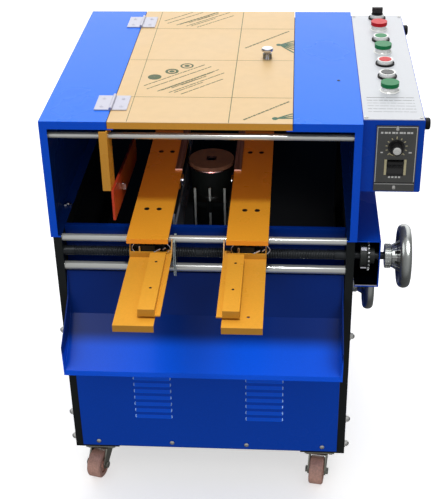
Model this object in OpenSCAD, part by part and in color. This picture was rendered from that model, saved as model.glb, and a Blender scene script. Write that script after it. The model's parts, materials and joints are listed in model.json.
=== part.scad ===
// Cabochon grinding machine: a wheeled cabinet with a guarded grinding chamber.
// Two carriages ride on guide rods and are moved apart or together by one
// left- and right-handed lead screw.  A lap spins between them on a lifting spindle.
// X runs to the operator's right, Y to the back and Z up.  Z = 0 is the floor.

/* [Cabinet] */
// Width of the upper housing
cab_w = 480; // [470:1:500]
// Depth of the upper housing
cab_d = 498; // [480:1:520]
// Height of the lid's top face above the floor
top_z = 693; // [680:1:720]
// Height of the joint between frame and housing
deck_z = 494; // [494:1:498]
// Underside of the frame, where the casters bolt on
base_z = 62; // [60:1:70]
// Thickness of the folded sheet
sheet = 2; // [1.5:0.1:2.4]
// Visible width of the housing's front flange
flange = 12; // [10:1:16]
// Width of a frame post seen from the front
post_w = 13; // [12:1:15]
// Depth of a frame post
post_d = 25; // [20:1:28]

/* [Lid] */
// Width of the lid
lid_w = 274; // [260:1:280]
// Thickness of the lid with its protective film
lid_t = 11; // [10:0.5:13]
// Thickness of the protective film
film_t = 0.7; // [0.5:0.1:1]
// Length of one hinge
hinge_l = 54; // [40:1:60]
// Width of one hinge leaf
hinge_leaf = 25; // [20:1:28]
// Diameter of the lid's knob
knob_d = 20; // [16:1:24]

/* [Console] */
// Width of the control console
con_w = 91; // [88:1:100]
// Front face of the console
con_front = 18; // [14:1:24]
// Length of the console
con_l = 462; // [450:1:470]
// Height of the console
con_h = 119; // [112:1:125]
// Distance between two buttons
button_pitch = 55.7; // [50:0.1:56]
// Outer diameter of a button's bezel
bezel_d = 28; // [27:0.5:29]
// Height of a button's bezel
bezel_h = 8.5; // [8:0.5:9]
// Travel of a push button
button_travel = 3; // [2:0.5:3]

/* [Guide rods and screw] */
// Distance of the three shafts behind the front face
shaft_y = 12; // [11:0.5:13]
// Height of the upper guide rod
upper_z = 488; // [487:0.5:489]
// Height of the lead screw
screw_z = 464; // [463:0.5:465]
// Height of the lower guide rod
lower_z = 436; // [435:0.5:437]
// Diameter of the upper guide rod
upper_d = 12; // [10:0.5:12]
// Diameter of the lower guide rod
lower_d = 14; // [12:0.5:14]
// Diameter of the lead screw
screw_d = 16; // [14:0.5:16]
// Diameter of a handwheel
wheel_d = 100; // [90:1:100]

/* [Carriages] */
// Middle between the two carriages
arm_mid = -7; // [-10:0.5:-4]
// Distance of a carriage from that middle
arm_half = 77.5; // [76:0.5:80]
// Width of a carriage cover
cover_w = 65; // [60:1:66]
// Height of a cover's top face
cover_z = 505; // [504:0.5:506]
// Length of a cover
cover_l = 400; // [380:1:420]
// Width of a front tray
tray_w = 59; // [56:1:62]
// Height of a front tray's top face
tray_z = 470; // [469:0.5:471]
// Reach of a front tray ahead of the cabinet
tray_reach = 202; // [180:1:210]

/* [Spindle] */
// Sideways place of the lap's axis
lap_x = -6; // [-8:0.5:-5]
// Distance of the lap's axis behind the front face
lap_y = 281; // [276:1:284]
// Height of the lap's top face
lap_z = 497; // [495:0.5:498]
// Diameter of the lap
lap_d = 80; // [70:1:80]
// Height of the lift shaft
lift_z = 279; // [276:1:282]

/* [Casters] */
// Diameter of a caster wheel
caster_d = 50; // [46:1:50]
// Tread width of a caster wheel
caster_w = 24; // [20:1:26]
// Distance of a caster's swivel axis from the middle
caster_x = 194; // [188:1:196]
// Distance from the swivel axis to the wheel's axle
caster_trail = 26; // [20:1:27]

/* [Hidden] */
$fn = 48;

// Colours
blue = [0.05, 0.25, 0.72];
amber = [0.85, 0.55, 0.12];
black = [0.06, 0.06, 0.07];
steel = [0.75, 0.76, 0.78];
dark_steel = [0.25, 0.25, 0.26];
red = [0.72, 0.16, 0.10];
kraft = [0.80, 0.66, 0.45];
pale_grey = [0.88, 0.90, 0.90];
panel_grey = [0.22, 0.23, 0.24];
green = [0.10, 0.55, 0.30];

// Clearances
run = 0.05;
gap = 0.3;

// Cabinet
half_w = cab_w / 2;
post_out = half_w - 3;
post_in = post_out - post_w;
post_front = 3;
post_back = cab_d - 3;
rail_h = 22;
bridge_z = 296;
bridge_t = 8;
bridge_front = lap_y - 76;
bridge_back = lap_y + 64;
side_plate_depth = 45;
side_plate_low = 402;
panel_low = base_z + 6;
louvre_w = 61;
louvre_pitch = 13.8;
louvre_count = 7;

// Lid
lid_low = top_z - lid_t;
hinge_x = -lid_w / 2 - 1;
hinge_ys = [69, 435];
pin_z = top_z + 2.5;
leaf_t = 1.5;
knuckles = 5;
ledge_z = lid_low - sheet;
lid_knob_x = 93;
lid_knob_y = 262;

// Guard
rod_z = 666;
guard_rod_d = 10;
hanger_x = -150;
hanger_w = 12.5;
hanger_low = 580;
hanger_top = ledge_z - 1.5;

// Console
con_x = half_w;
con_low = top_z - con_h;
plate_t = 1.5;
button_x = con_x + 46;
button_first = 128;
function button_y(i) = button_first + i * button_pitch;
// Height of each button's cap above the plate, from the front; 0 is the selector
cap_heights = [14.5, 9, 9, 14.5, 9, 14.5];
cap_r = 10.4;
bezel_r = 12.7;
selector_i = 6;
speed_x = con_x + 51;
speed_w = 61;
speed_h = 107;
speed_t = 3;
speed_mid_z = 630.5;
speed_front = con_front - speed_t;
speed_knob_z = 650;
rocker_z = 616;
rocker_tilt = 8;
pivot_r = 0.9;
pivot_y = speed_front + speed_t / 2;

// Shafts
wheel_x = 316;
collar_back = 32;
box_x = half_w - 3;
box_w = 40;
box_low = 410;
box_back = 175;

// Carriages
arm_t = 3;
cover_low = cover_z - arm_t;
cover_front = -20;
block_w = 50;
block_front = -2;
block_back = 27;
block_low = 427;
sill_y = 30;
sill_z = 500;
chuck_y = lap_y - 78;
chuck_z = 494;

// Spindle
housing_d = 76;
carrier_z = 430;
carrier_t = 8;
lift_y = lap_y - 56;
rod_pitch = 26;
rod_r = 2.1;
lift_wheel_x = 281;
shaft_r = 6;
bevel_near = 8;
bevel_len = 7.5;

// Casters, with the angle each one stands at
caster_y = 26;
caster_spots = [
    [-caster_x, caster_y, -14],
    [caster_x, caster_y, -8],
    [-caster_x, cab_d - caster_y, 10],
    [caster_x, cab_d - caster_y, -5]
];
fork_gap = caster_w / 2 + 1.5;

// The origin is on the floor, under the middle of the whole machine's box
bumper_out = 10.5;
nut_out = 8;
mid_x = (con_x + con_w + bumper_out - post_out - nut_out) / 2;
mid_y = (post_back + gap + 2 * sheet - tray_reach) / 2;

// ---------- shared shapes ----------

// Moves the machine's own coordinates to the origin under its middle
module placed() {
    translate([-mid_x, -mid_y, 0]) children();
}

// A box between two corners
module block(low, high) {
    translate(low) cube(high - low);
}

// A shaft along X, Y or Z
module x_rod(r, x0, x1, y, z) {
    translate([x0, y, z]) rotate([0, 90, 0]) cylinder(r = r, h = x1 - x0);
}
module y_rod(r, x, y0, y1, z) {
    translate([x, y0, z]) rotate([-90, 0, 0]) cylinder(r = r, h = y1 - y0);
}
module z_rod(r, x, y, z0, z1) {
    translate([x, y, z0]) cylinder(r = r, h = z1 - z0);
}

// A plate in the YZ plane, cut to an outline of [y, z] points
module yz_plate(outline, x0, x1) {
    translate([x0, 0, 0]) rotate([90, 0, 90]) linear_extrude(x1 - x0) polygon(outline);
}

// A folded sheet of thickness t whose middle line runs through [y, z] points, with mitred folds
function side_of(a, b) = let (d = b - a) [-d[1], d[0]] / norm(d);
function fold_point(path, i, s) =
    i == 0 ? path[0] + s * side_of(path[0], path[1])
    : i == len(path) - 1 ? path[i] + s * side_of(path[i - 1], path[i])
    : let (m = side_of(path[i - 1], path[i]), n = side_of(path[i], path[i + 1]))
        path[i] + s * (m + n) / (1 + m * n);
module folded_sheet(path, x0, x1, t) {
    last = len(path) - 1;
    outline = concat(
        [for (i = [0 : last]) fold_point(path, i, t / 2)],
        [for (i = [last : -1 : 0]) fold_point(path, i, -t / 2)]
    );
    yz_plate(outline, x0, x1);
}

// A low screw head with a cross slot, standing on Z = 0
module screw_head(r, h) {
    difference() {
        union() {
            cylinder(r = r, h = h * 0.6);
            translate([0, 0, h * 0.6]) cylinder(r1 = r, r2 = r * 0.6, h = h * 0.4);
        }
        for (a = [0, 90]) {
            rotate([0, 0, a]) translate([-r * 0.55, -r * 0.12, h * 0.55]) cube([r * 1.1, r * 0.24, h]);
        }
    }
}

// A domed nut on a washer, standing on Z = 0
module acorn_nut() {
    cylinder(r = 7, h = 1.2);
    translate([0, 0, 1.2]) cylinder(r = 5.6, h = 4, $fn = 6);
    intersection() {
        translate([0, 0, 3.4]) sphere(r = 4.6);
        translate([-8, -8, 1.2]) cube([16, 16, 12]);
    }
}

// A handwheel with a windowed hub cone, its axis along X and its rim's outer face at x + 6.5
module dished_wheel(x, y, z, bore_r) {
    rim_r = 6.5;
    rim_half = 9;
    ring_r = wheel_d / 2 - rim_r;
    start = -collar_back + 9;
    cone = [
        [10, start], [16.5, start], [25.5, -6], [ring_r - 4, -4.5],
        [ring_r - 4, -0.5], [22, -2.5], [13.8, start + 3.5], [10, start + 3.5]
    ];
    translate([x, y, z]) rotate([0, 90, 0]) difference() {
        union() {
            translate([0, 0, rim_r - rim_half]) rotate_extrude()
                translate([ring_r, 0]) scale([1, rim_half / rim_r]) circle(r = rim_r);
            rotate_extrude() polygon(cone);
            translate([0, 0, -collar_back]) cylinder(r = 18.5, h = 9.5);
            translate([0, 0, -collar_back + 5]) cylinder(r = 12, h = 26);
        }
        translate([0, 0, -collar_back - 1]) cylinder(r = bore_r, h = collar_back + 12);
        for (i = [0 : 7]) {
            // Window in the cone
            rotate([0, 0, i * 45]) translate([12.8, -2.8, start + 5.5]) cube([16, 5.6, 8.5]);
            // Opening in the web
            rotate([0, 0, i * 45 + 22.5]) translate([31, 0, -8]) cylinder(r = 3.8, h = 12);
        }
    }
}

// A straight bevel gear on the Z axis, its apex at the origin
module bevel_gear(bore_r) {
    slots = 12;
    r0 = bevel_near - 0.5;
    difference() {
        translate([0, 0, bevel_near]) cylinder(r1 = r0, r2 = r0 + bevel_len, h = bevel_len);
        for (i = [0 : slots - 1]) {
            rotate([0, 0, i * 360 / slots]) rotate([0, 45, 0]) translate([-1.6, -0.9, 5]) cube([4, 1.8, 25]);
        }
        translate([0, 0, -1]) cylinder(r = bore_r, h = 40);
    }
}

// ---------- cabinet ----------

module frame() {
    post_corners = [[-1, post_front], [1, post_front], [-1, post_back - post_d], [1, post_back - post_d]];
    color(black) placed() difference() {
        union() {
            for (c = post_corners) {
                x0 = c[0] < 0 ? -post_out : post_in;
                block([x0, c[1], base_z], [x0 + post_w, c[1] + post_d, deck_z]);
            }
            for (side = [-1, 1]) {
                x0 = side < 0 ? -post_out : post_in;
                // Bottom, middle and top side rails
                for (z = [base_z, bridge_z - rail_h, deck_z - rail_h]) {
                    block([x0, post_front, z], [x0 + post_w, post_back, z + rail_h]);
                }
                // Plate that carries the guide rods
                block([x0, post_front, side_plate_low], [x0 + post_w, side_plate_depth, deck_z]);
                // Feet for the casters
                foot_x = side < 0 ? -post_out : 160;
                block([foot_x, post_front, base_z], [foot_x + post_out - 160, 60, base_z + 5]);
                block([foot_x, post_back - 57, base_z], [foot_x + post_out - 160, post_back, base_z + 5]);
            }
            // Cross rails
            block([-post_out, 6, base_z], [post_out, 6 + rail_h, base_z + rail_h]);
            block([-post_out, post_back - rail_h, base_z], [post_out, post_back, base_z + rail_h]);
            block([-post_out, post_back - rail_h, deck_z - rail_h], [post_out, post_back, deck_z]);
            // Bridge under the spindle, with the bearing of the lift shaft
            block([-post_out, bridge_front, bridge_z], [post_out, bridge_back, bridge_z + bridge_t]);
            block([60, lift_y - 12, lift_z - 14], [70, lift_y + 12, bridge_z + 1]);
        }
        // Seats of the guide rods and of the lead screw
        x_rod(upper_d / 2 + run, -post_out + 4, post_out - 4, shaft_y, upper_z);
        x_rod(lower_d / 2 + run, -post_out + 4, post_out - 4, shaft_y, lower_z);
        x_rod(screw_d / 2 + run, -post_out + 4, post_out + 1, shaft_y, screw_z);
        // Bores of the lift rods, the lift screw and the lift shaft
        for (i = [-1, 1]) {
            z_rod(rod_r + run, lap_x + i * rod_pitch, lift_y, bridge_z + 2, bridge_z + 20);
        }
        z_rod(rod_r + run, lap_x, lift_y, bridge_z - 10, bridge_z + 20);
        x_rod(shaft_r + run, 50, 80, lift_y, lift_z);
        x_rod(shaft_r + 4, post_in - 5, post_out + 5, lift_y, lift_z);
        // Holes of the caster swivels' kingpins
        for (s = caster_spots) {
            z_rod(9, s[0], s[1], base_z - 1, base_z + 8);
        }
    }
}

module upper_housing() {
    side_top = half_w - lid_w / 2 - 1;
    color(blue) placed() union() {
        for (side = [-1, 1]) {
            wall_x = side < 0 ? -half_w : half_w - sheet;
            top_x = side < 0 ? -half_w : half_w - side_top;
            web_x = side < 0 ? -half_w + side_top - sheet : half_w - side_top;
            // Side wall with its front flange and its bottom flange
            block([wall_x, 0, deck_z], [wall_x + sheet, cab_d, top_z]);
            flange_x = side < 0 ? -half_w : half_w - flange;
            block([flange_x, 0, deck_z], [flange_x + flange, sheet, top_z]);
            sill_x = side < 0 ? -half_w : post_in;
            block([sill_x, 0, deck_z], [sill_x + half_w - post_in, cab_d, deck_z + sheet]);
            // Top strip beside the lid, with its front flange
            block([top_x, 0, top_z - sheet], [top_x + side_top, cab_d, top_z]);
            block([top_x, 0, ledge_z], [top_x + side_top, sheet, top_z]);
            // Ledge that the lid lies on
            block([web_x, 0, ledge_z], [web_x + sheet, cab_d, top_z]);
            ledge_x = side < 0 ? web_x : web_x - 10;
            block([ledge_x, 0, ledge_z], [ledge_x + sheet + 10, cab_d, ledge_z + sheet]);
        }
        // Back wall, lower behind the lid
        block([-half_w, cab_d - sheet, deck_z], [half_w, cab_d, ledge_z + sheet]);
        block([-half_w, cab_d - sheet, deck_z], [-half_w + side_top, cab_d, top_z]);
        block([half_w - side_top, cab_d - sheet, deck_z], [half_w, cab_d, top_z]);
        block([-half_w, cab_d - 20, deck_z], [half_w, cab_d, deck_z + sheet]);
    }
}

// A row of louvre openings with raised hoods, on a plate that faces -Y
module louvre_hoods(x, z) {
    for (i = [0 : louvre_count - 1]) {
        translate([0, 0, z + i * louvre_pitch])
            yz_plate([[0.5, -2.4], [-3.4, -2.4], [-3.4, -1.4], [0.5, 4.2]], x - louvre_w / 2, x + louvre_w / 2);
    }
}
module louvre_slots(x, z, y_back) {
    for (i = [0 : louvre_count - 1]) {
        block([x - louvre_w / 2 + 2, -2.4, z + i * louvre_pitch - 3],
              [x + louvre_w / 2 - 2, y_back + 1, z + i * louvre_pitch - 0.6]);
    }
}

module front_panel() {
    half = post_in - 0.5;
    groups = [-94, 97];
    first_z = 137;
    color(blue) placed() difference() {
        union() {
            block([-half, 0, panel_low], [half, sheet, 347]);
            for (x = groups) {
                louvre_hoods(x, first_z);
            }
            // Lugs that reach back to the frame's bottom rail
            block([-half, 0, panel_low], [half, 6, panel_low + sheet]);
        }
        for (x = groups) {
            louvre_slots(x, first_z, sheet);
        }
    }
}

module rear_panels() {
    panel_top = deck_z - 2;
    front = post_front + post_d + 2;
    vent = [0 : 6];
    color(blue) placed() {
        // Left panel
        difference() {
            block([-post_out - sheet, front, panel_low], [-post_out, post_back, panel_top]);
            for (i = vent) {
                block([-post_out - 3, 200, 140 + i * 14], [-post_out + 1, 300, 144 + i * 14]);
            }
        }
        // Right panel, cut round the drive box and the lift shaft
        difference() {
            block([post_out, front, panel_low], [post_out + sheet, post_back, panel_top]);
            block([post_out - 1, 0, box_low - 2], [post_out + 4, box_back + 2, panel_top + 2]);
            x_rod(shaft_r + 4, post_out - 1, post_out + 4, lift_y, lift_z);
            for (i = vent) {
                block([post_out - 1, 300, 140 + i * 14], [post_out + 3, 400, 144 + i * 14]);
            }
        }
        // Back panel
        difference() {
            block([-post_out, post_back + gap, panel_low], [post_out, post_back + gap + sheet, panel_top]);
            for (x = [-100, 100]) {
                for (i = vent) {
                    block([x - 50, post_back - 1, 110 + i * 14], [x + 50, post_back + 4, 114 + i * 14]);
                }
            }
            block([-204, post_back - 1, 106], [-176, post_back + 4, 130]);
        }
    }
}

// Folded sheet behind and below the guide rods that catches slurry and chips
module catch_tray() {
    half = post_in - 1;
    sill = [[sill_y + 7, sill_z - 1], [sill_y, sill_z - 1], [sill_y, 425.5], [11, 425.5]];
    chute = [[11, 414], [-3, 353], [-41, 320], [-78, 292], [-80, 284]];
    cheek_top = [[-83, 340], [-45, 361], [-3, 386], [11, 424]];
    // Ears behind the cheeks screw to the posts
    ear = [[-3, 353], [24, 353], [24, 386], [-3, 386]];
    color(blue) placed() union() {
        folded_sheet(concat(sill, chute), -half, half, sheet);
        for (x0 = [-half, half - sheet]) {
            yz_plate(concat(chute, cheek_top), x0, x0 + sheet);
            yz_plate(ear, x0, x0 + sheet);
        }
    }
}

// ---------- guard ----------

module guard_rod() {
    color(steel) placed() x_rod(guard_rod_d / 2, -half_w + sheet, half_w - sheet, shaft_y, rod_z);
}

module guard_hanger() {
    web_x = hanger_x + hanger_w;
    web = [[-4, hanger_top], [34, hanger_top], [34, 564], [12, 564], [8, hanger_low], [-4, hanger_low]];
    color(amber) placed() difference() {
        union() {
            block([hanger_x, -4, hanger_low], [web_x, -2, hanger_top]);
            yz_plate(web, web_x - sheet, web_x);
        }
        x_rod(guard_rod_d / 2 + run, web_x - 10, web_x + 10, shaft_y, rod_z);
    }
}

module guard_plate() {
    x0 = hanger_x + hanger_w;
    color(red) placed() yz_plate([[-4, 529], [-4, 581], [240, 558], [240, 513]], x0, x0 + 4);
}

// ---------- lid ----------

module lid_panel() {
    x0 = -lid_w / 2;
    z1 = top_z - film_t;
    color(amber) placed() difference() {
        block([x0, 0, lid_low], [-x0, cab_d, z1]);
        block([x0 + sheet, sheet, lid_low - 1], [-x0 - sheet, cab_d - sheet, z1 - sheet]);
        // Hole of the knob's screw
        z_rod(2, lid_knob_x, lid_knob_y, lid_low - 1, z1 + 1);
    }
}

module lid_film() {
    x0 = -lid_w / 2;
    color(kraft) placed() difference() {
        block([x0, 0, top_z - film_t], [-x0, cab_d, top_z]);
        z_rod(2, lid_knob_x, lid_knob_y, top_z - 2, top_z + 1);
    }
}

module lid_knob() {
    profile = [
        [0, 0], [7, 0], [6, 3], [5, 8], [6, 11], [knob_d / 2, 13.5], [knob_d / 2, 16], [8.5, 18], [0, 18]
    ];
    color(steel) placed() translate([lid_knob_x, lid_knob_y, top_z]) {
        rotate_extrude() polygon(profile);
        translate([0, 0, -lid_t + 3]) cylinder(r = 1.9, h = lid_t);
    }
}

// Knuckles of one hinge: even ones belong to the fixed leaf, odd ones to the moving leaf
module hinge_leaf_set(side) {
    knuckle_l = hinge_l / knuckles;
    for (y = hinge_ys) {
        difference() {
            union() {
                block([side < 0 ? hinge_x - hinge_leaf : hinge_x + 0.6, y - hinge_l / 2, top_z],
                      [side < 0 ? hinge_x - 0.6 : hinge_x + hinge_leaf, y + hinge_l / 2, top_z + leaf_t]);
                for (i = [side < 0 ? 0 : 1 : 2 : knuckles - 1]) {
                    y0 = y - hinge_l / 2 + i * knuckle_l;
                    y_rod(2.5, hinge_x, y0 + 0.1, y0 + knuckle_l - 0.1, pin_z);
                    block([side < 0 ? hinge_x - 4 : hinge_x, y0 + 0.1, top_z + 0.3],
                          [side < 0 ? hinge_x : hinge_x + 4, y0 + knuckle_l - 0.1, top_z + leaf_t]);
                }
            }
            y_rod(1.5 + run, hinge_x, y - hinge_l, y + hinge_l, pin_z);
            // Room for the other leaf's knuckles
            for (i = [side < 0 ? 1 : 0 : 2 : knuckles - 1]) {
                y0 = y - hinge_l / 2 + i * knuckle_l;
                y_rod(2.8, hinge_x, y0 - 0.1, y0 + knuckle_l + 0.1, pin_z);
            }
        }
    }
}

module hinge_fixed_leaves() {
    color(steel) placed() {
        hinge_leaf_set(-1);
        for (y = hinge_ys) {
            y_rod(1.5 + run, hinge_x, y - hinge_l / 2, y - hinge_l / 2 + 3, pin_z);
            y_rod(1.5, hinge_x, y - hinge_l / 2, y + hinge_l / 2, pin_z);
        }
    }
}

module hinge_moving_leaves() {
    color(steel) placed() hinge_leaf_set(1);
}

// ---------- shafts ----------

module guide_rods() {
    end = post_out - 5;
    color(steel) placed() {
        x_rod(upper_d / 2, -end, end, shaft_y, upper_z);
        x_rod(lower_d / 2, -end, end, shaft_y, lower_z);
    }
}

// Ridges stand for the thread; the two halves are cut opposite ways on the real screw
module lead_screw() {
    groove_pitch = 3;
    groove_from = 128;
    groove_to = 216;
    color(dark_steel) placed() difference() {
        union() {
            x_rod(screw_d / 2, -post_out + 5, post_out + 1, shaft_y, screw_z);
            x_rod(shaft_r, post_out, wheel_x + 2, shaft_y, screw_z);
        }
        for (x = [groove_from : groove_pitch * 2 : groove_to]) {
            translate([x, shaft_y, screw_z]) rotate([0, 90, 0]) rotate_extrude()
                translate([screw_d / 2, 0]) polygon([[-1, 0.9], [1, 0], [1, 2.2], [-1, 1.3]]);
        }
    }
}

module screw_coupling() {
    color(black) placed() difference() {
        union() {
            x_rod(19, 246, 257, shaft_y, screw_z);
            x_rod(22, 257, 260, shaft_y, screw_z);
            x_rod(13, 260, 268, shaft_y, screw_z);
        }
        x_rod(shaft_r + run, 240, 275, shaft_y, screw_z);
        // Grub screw holes
        for (a = [0, 120, 240]) {
            translate([251, shaft_y, screw_z]) rotate([a, 0, 0]) cylinder(r = 2, h = 30);
        }
    }
}

module handwheel() {
    color(steel) placed() dished_wheel(wheel_x, shaft_y, screw_z, shaft_r + run);
}

// Housing round the screw's coupling, open at the front, and the lift shaft's bearing plate
module drive_box() {
    x1 = box_x + box_w;
    color(blue) placed() {
        difference() {
            block([box_x + 2, 4, box_low], [x1, box_back, deck_z]);
            block([box_x, 3, box_low + sheet], [x1 - sheet, box_back - sheet, deck_z - sheet]);
            x_rod(shaft_r + 1, x1 - 5, x1 + 5, shaft_y, screw_z);
            // Clears the housing's wall above
            block([box_x - 1, 0, deck_z - sheet], [half_w, box_back + 1, deck_z + 1]);
        }
        difference() {
            block([post_out + sheet, lift_y - 20, lift_z - 20],
                  [post_out + sheet + 7, lift_y + 20, lift_z + 20]);
            x_rod(shaft_r + run, post_out, post_out + 20, lift_y, lift_z);
        }
    }
}

// ---------- carriages ----------

module carriage(x) {
    color(dark_steel) placed() difference() {
        union() {
            block([x - block_w / 2, block_front, block_low], [x + block_w / 2, block_back, cover_low]);
            // Ledge for the front tray
            block([x - block_w / 2, -40, tray_z - 22], [x + block_w / 2, block_front + 1, tray_z - 2]);
        }
        x_rod(upper_d / 2 + run, x - block_w, x + block_w, shaft_y, upper_z);
        x_rod(lower_d / 2 + run, x - block_w, x + block_w, shaft_y, lower_z);
        x_rod(screw_d / 2 + run, x - block_w, x + block_w, shaft_y, screw_z);
    }
}
module left_carriage() {
    carriage(arm_mid - arm_half);
}
module right_carriage() {
    carriage(arm_mid + arm_half);
}

// Cover of one carriage; inner is +1 where the lap is on its right and -1 on its left
module cover(x, inner) {
    x0 = x - cover_w / 2;
    strip_w = 12;
    strip_x = inner > 0 ? x + cover_w / 2 - strip_w : x0;
    strip_front = 216;
    motor_x = inner > 0 ? x + cover_w / 2 - 34 : x0 + 2;
    color(amber) placed() difference() {
        union() {
            block([x0, cover_front, cover_low], [x0 + cover_w, cover_front + cover_l, cover_z]);
            block([x0, cover_front, cover_low - 5], [x0 + cover_w, cover_front + sheet, cover_z]);
            block([strip_x, strip_front, cover_low], [strip_x + strip_w, cover_front + cover_l, cover_z + 3]);
            // Bearing of the dop spindle, hanging under the cover
            block([motor_x, chuck_y - 12, chuck_z - 12], [motor_x + 32, chuck_y + 12, cover_low + 1]);
        }
        for (y = [77, 289]) {
            for (dx = [-10, 10]) {
                z_rod(2.6, x + dx - inner * 2, y, cover_low - 1, cover_z + 4);
            }
        }
        x_rod(6 + run, x - 100, x + 100, chuck_y, chuck_z);
    }
}
module left_cover() {
    cover(arm_mid - arm_half, 1);
}
module right_cover() {
    cover(arm_mid + arm_half, -1);
}

// Front tray of one carriage, with a hollow rest that stands on two spacers and has a ledge beside it
module tray(x, inner) {
    x0 = x - tray_w / 2;
    x1 = x + tray_w / 2;
    z1 = tray_z;
    upstand_y = -16;
    rest_w = 24.5;
    rest_x = inner > 0 ? x1 - rest_w : x0 + 1;
    rest_front = -184;
    rest_back = -28;
    spacers = [-127, -54];
    ledge_in = inner > 0 ? x1 - sheet : x0 + 1 + sheet;
    ledge_out = inner > 0 ? x1 + 8 : x0 - 8;
    cheek_t = 1.5;
    inner_x = inner > 0 ? ledge_out - cheek_t : ledge_out;
    inner_cheek = [
        [rest_back, z1 + 4], [rest_back, z1 + 7], [upstand_y, z1 + 14],
        [-5, z1 + 26], [block_front, z1 + 26], [block_front, z1 + 4]
    ];
    outer_x = inner > 0 ? x0 : x1 - cheek_t;
    outer_cheek = [
        [upstand_y, z1 - sheet], [upstand_y, z1 + 9.5],
        [-5, z1 + 30], [block_front, z1 + 30], [block_front, z1 - sheet]
    ];
    color(amber) placed() {
        difference() {
            union() {
                block([x0, -tray_reach, z1 - sheet], [x1, block_front, z1]);
                block([x0, -tray_reach, z1 - 11], [x1, -tray_reach + sheet, z1]);
                block([x0, upstand_y, z1 - sheet], [x1, upstand_y + sheet, z1 + 9.5]);
                yz_plate(outer_cheek, outer_x, outer_x + cheek_t);
            }
            // Screw hole, on the right tray only
            if (inner < 0) {
                z_rod(2.5, x + 8, -174, z1 - 5, z1 + 1);
            }
        }
        difference() {
            union() {
                difference() {
                    block([rest_x, rest_front, z1 + 4], [rest_x + rest_w, rest_back, z1 + 16]);
                    block([rest_x + sheet, rest_front + sheet, z1 + 3],
                          [rest_x + rest_w - sheet, rest_back - sheet, z1 + 14]);
                }
                for (y = spacers) {
                    z_rod(4, rest_x + rest_w / 2, y, z1 - 1, z1 + 14.5);
                }
            }
            for (y = spacers) {
                z_rod(2.2, rest_x + rest_w / 2, y, z1 + 10, z1 + 20);
            }
        }
        // Ledge along the rest, turned up into a cheek at the back
        block([min(ledge_in, ledge_out), rest_front, z1 + 4], [max(ledge_in, ledge_out), block_front, z1 + 6]);
        yz_plate(inner_cheek, inner_x, inner_x + cheek_t);
    }
}
module left_tray() {
    tray(arm_mid - arm_half, 1);
}
module right_tray() {
    tray(arm_mid + arm_half, -1);
}

// Left splash plate: its rear part hangs from the cover, its front part shields the rods
module left_splash_plate() {
    edge = arm_mid - arm_half + cover_w / 2;
    x0 = edge + 2.2;
    front_x = edge + 4.8;
    top = 489;
    color(dark_steel) placed() {
        difference() {
            union() {
                yz_plate([[40, 432], [40, top], [372, top], [372, 432]], x0, x0 + 3);
                for (y = [50, 340]) {
                    block([edge, y, top - 16], [x0 + 1, y + 12, cover_z]);
                }
            }
            x_rod(12, x0 - 5, x0 + 5, chuck_y, chuck_z);
        }
        difference() {
            union() {
                yz_plate([[-1.5, 427.5], [-1.5, top], [26, top], [26, 427.5]], front_x, front_x + 3.6);
                block([arm_mid - arm_half + block_w / 2, 0, 445.5], [front_x + 1, 22, 453.5]);
            }
            // Clears the two rods and the screw, and is open below the lower rod
            x_rod(upper_d / 2 + 1, front_x - 5, front_x + 5, shaft_y, upper_z);
            x_rod(screw_d / 2 + 1, front_x - 5, front_x + 5, shaft_y, screw_z);
            x_rod(lower_d / 2 + 1, front_x - 5, front_x + 5, shaft_y, lower_z);
            block([front_x - 5, shaft_y - lower_d / 2 - 1, lower_z - 20],
                  [front_x + 5, shaft_y + lower_d / 2 + 1, lower_z]);
        }
    }
}
module right_splash_plate() {
    x1 = arm_mid + arm_half - cover_w / 2;
    color(dark_steel) placed() difference() {
        yz_plate([[40, 432], [40, cover_z], [372, cover_z], [372, 432]], x1 - sheet, x1);
        x_rod(12, x1 - 5, x1 + 5, chuck_y, chuck_z);
    }
}

// Dop chuck: a short spindle along X with a flange and a bore for a dop stick
module chuck(x, inner) {
    face_x = x + inner * (cover_w / 2 + 3.7);
    color(steel) placed() translate([face_x, chuck_y, chuck_z]) rotate([0, inner * 90, 0]) difference() {
        union() {
            translate([0, 0, -39.7]) cylinder(r = 6, h = 39.7);
            translate([0, 0, -3]) cylinder(r = 11, h = 3);
            translate([0, 0, -40.7]) cylinder(r = 8, h = 3);
        }
        translate([0, 0, -18]) cylinder(r = 3.1, h = 20);
    }
}
module left_chuck() {
    chuck(arm_mid - arm_half, 1);
}
module right_chuck() {
    chuck(arm_mid + arm_half, -1);
}

// ---------- spindle ----------

module lift_rods() {
    color(steel) placed() {
        for (i = [-1, 1]) {
            z_rod(rod_r, lap_x + i * rod_pitch, lift_y, bridge_z + 2.2, 466);
        }
    }
}

module lift_carrier() {
    color(black) placed() difference() {
        union() {
            block([lap_x - 39, lift_y - 1, carrier_z], [lap_x + 39, lap_y + 42, carrier_z + carrier_t]);
            z_rod(5, lap_x, lift_y, carrier_z - 10, carrier_z + carrier_t + 4);
        }
        for (i = [-1 : 1]) {
            z_rod(rod_r + run, lap_x + i * rod_pitch, lift_y, carrier_z - 20, carrier_z + 30);
        }
        z_rod(20.5, lap_x, lap_y, carrier_z - 1, carrier_z + 30);
    }
}

module spindle_motor() {
    top = lap_z - 11;
    color(black) placed() difference() {
        union() {
            z_rod(36, lap_x, lap_y, 345, carrier_z - gap);
            z_rod(20, lap_x, lap_y, carrier_z - 5, carrier_z + carrier_t + 5);
            z_rod(housing_d / 2, lap_x, lap_y, carrier_z + carrier_t, top);
        }
        // Cooling grooves round the motor and the seat of the shaft
        for (z = [360 : 12 : 408]) {
            translate([lap_x, lap_y, z]) rotate_extrude() translate([34.5, 0]) square([4, 4]);
        }
        z_rod(5 + run, lap_x, lap_y, top - 12, top + 1);
    }
}

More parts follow.
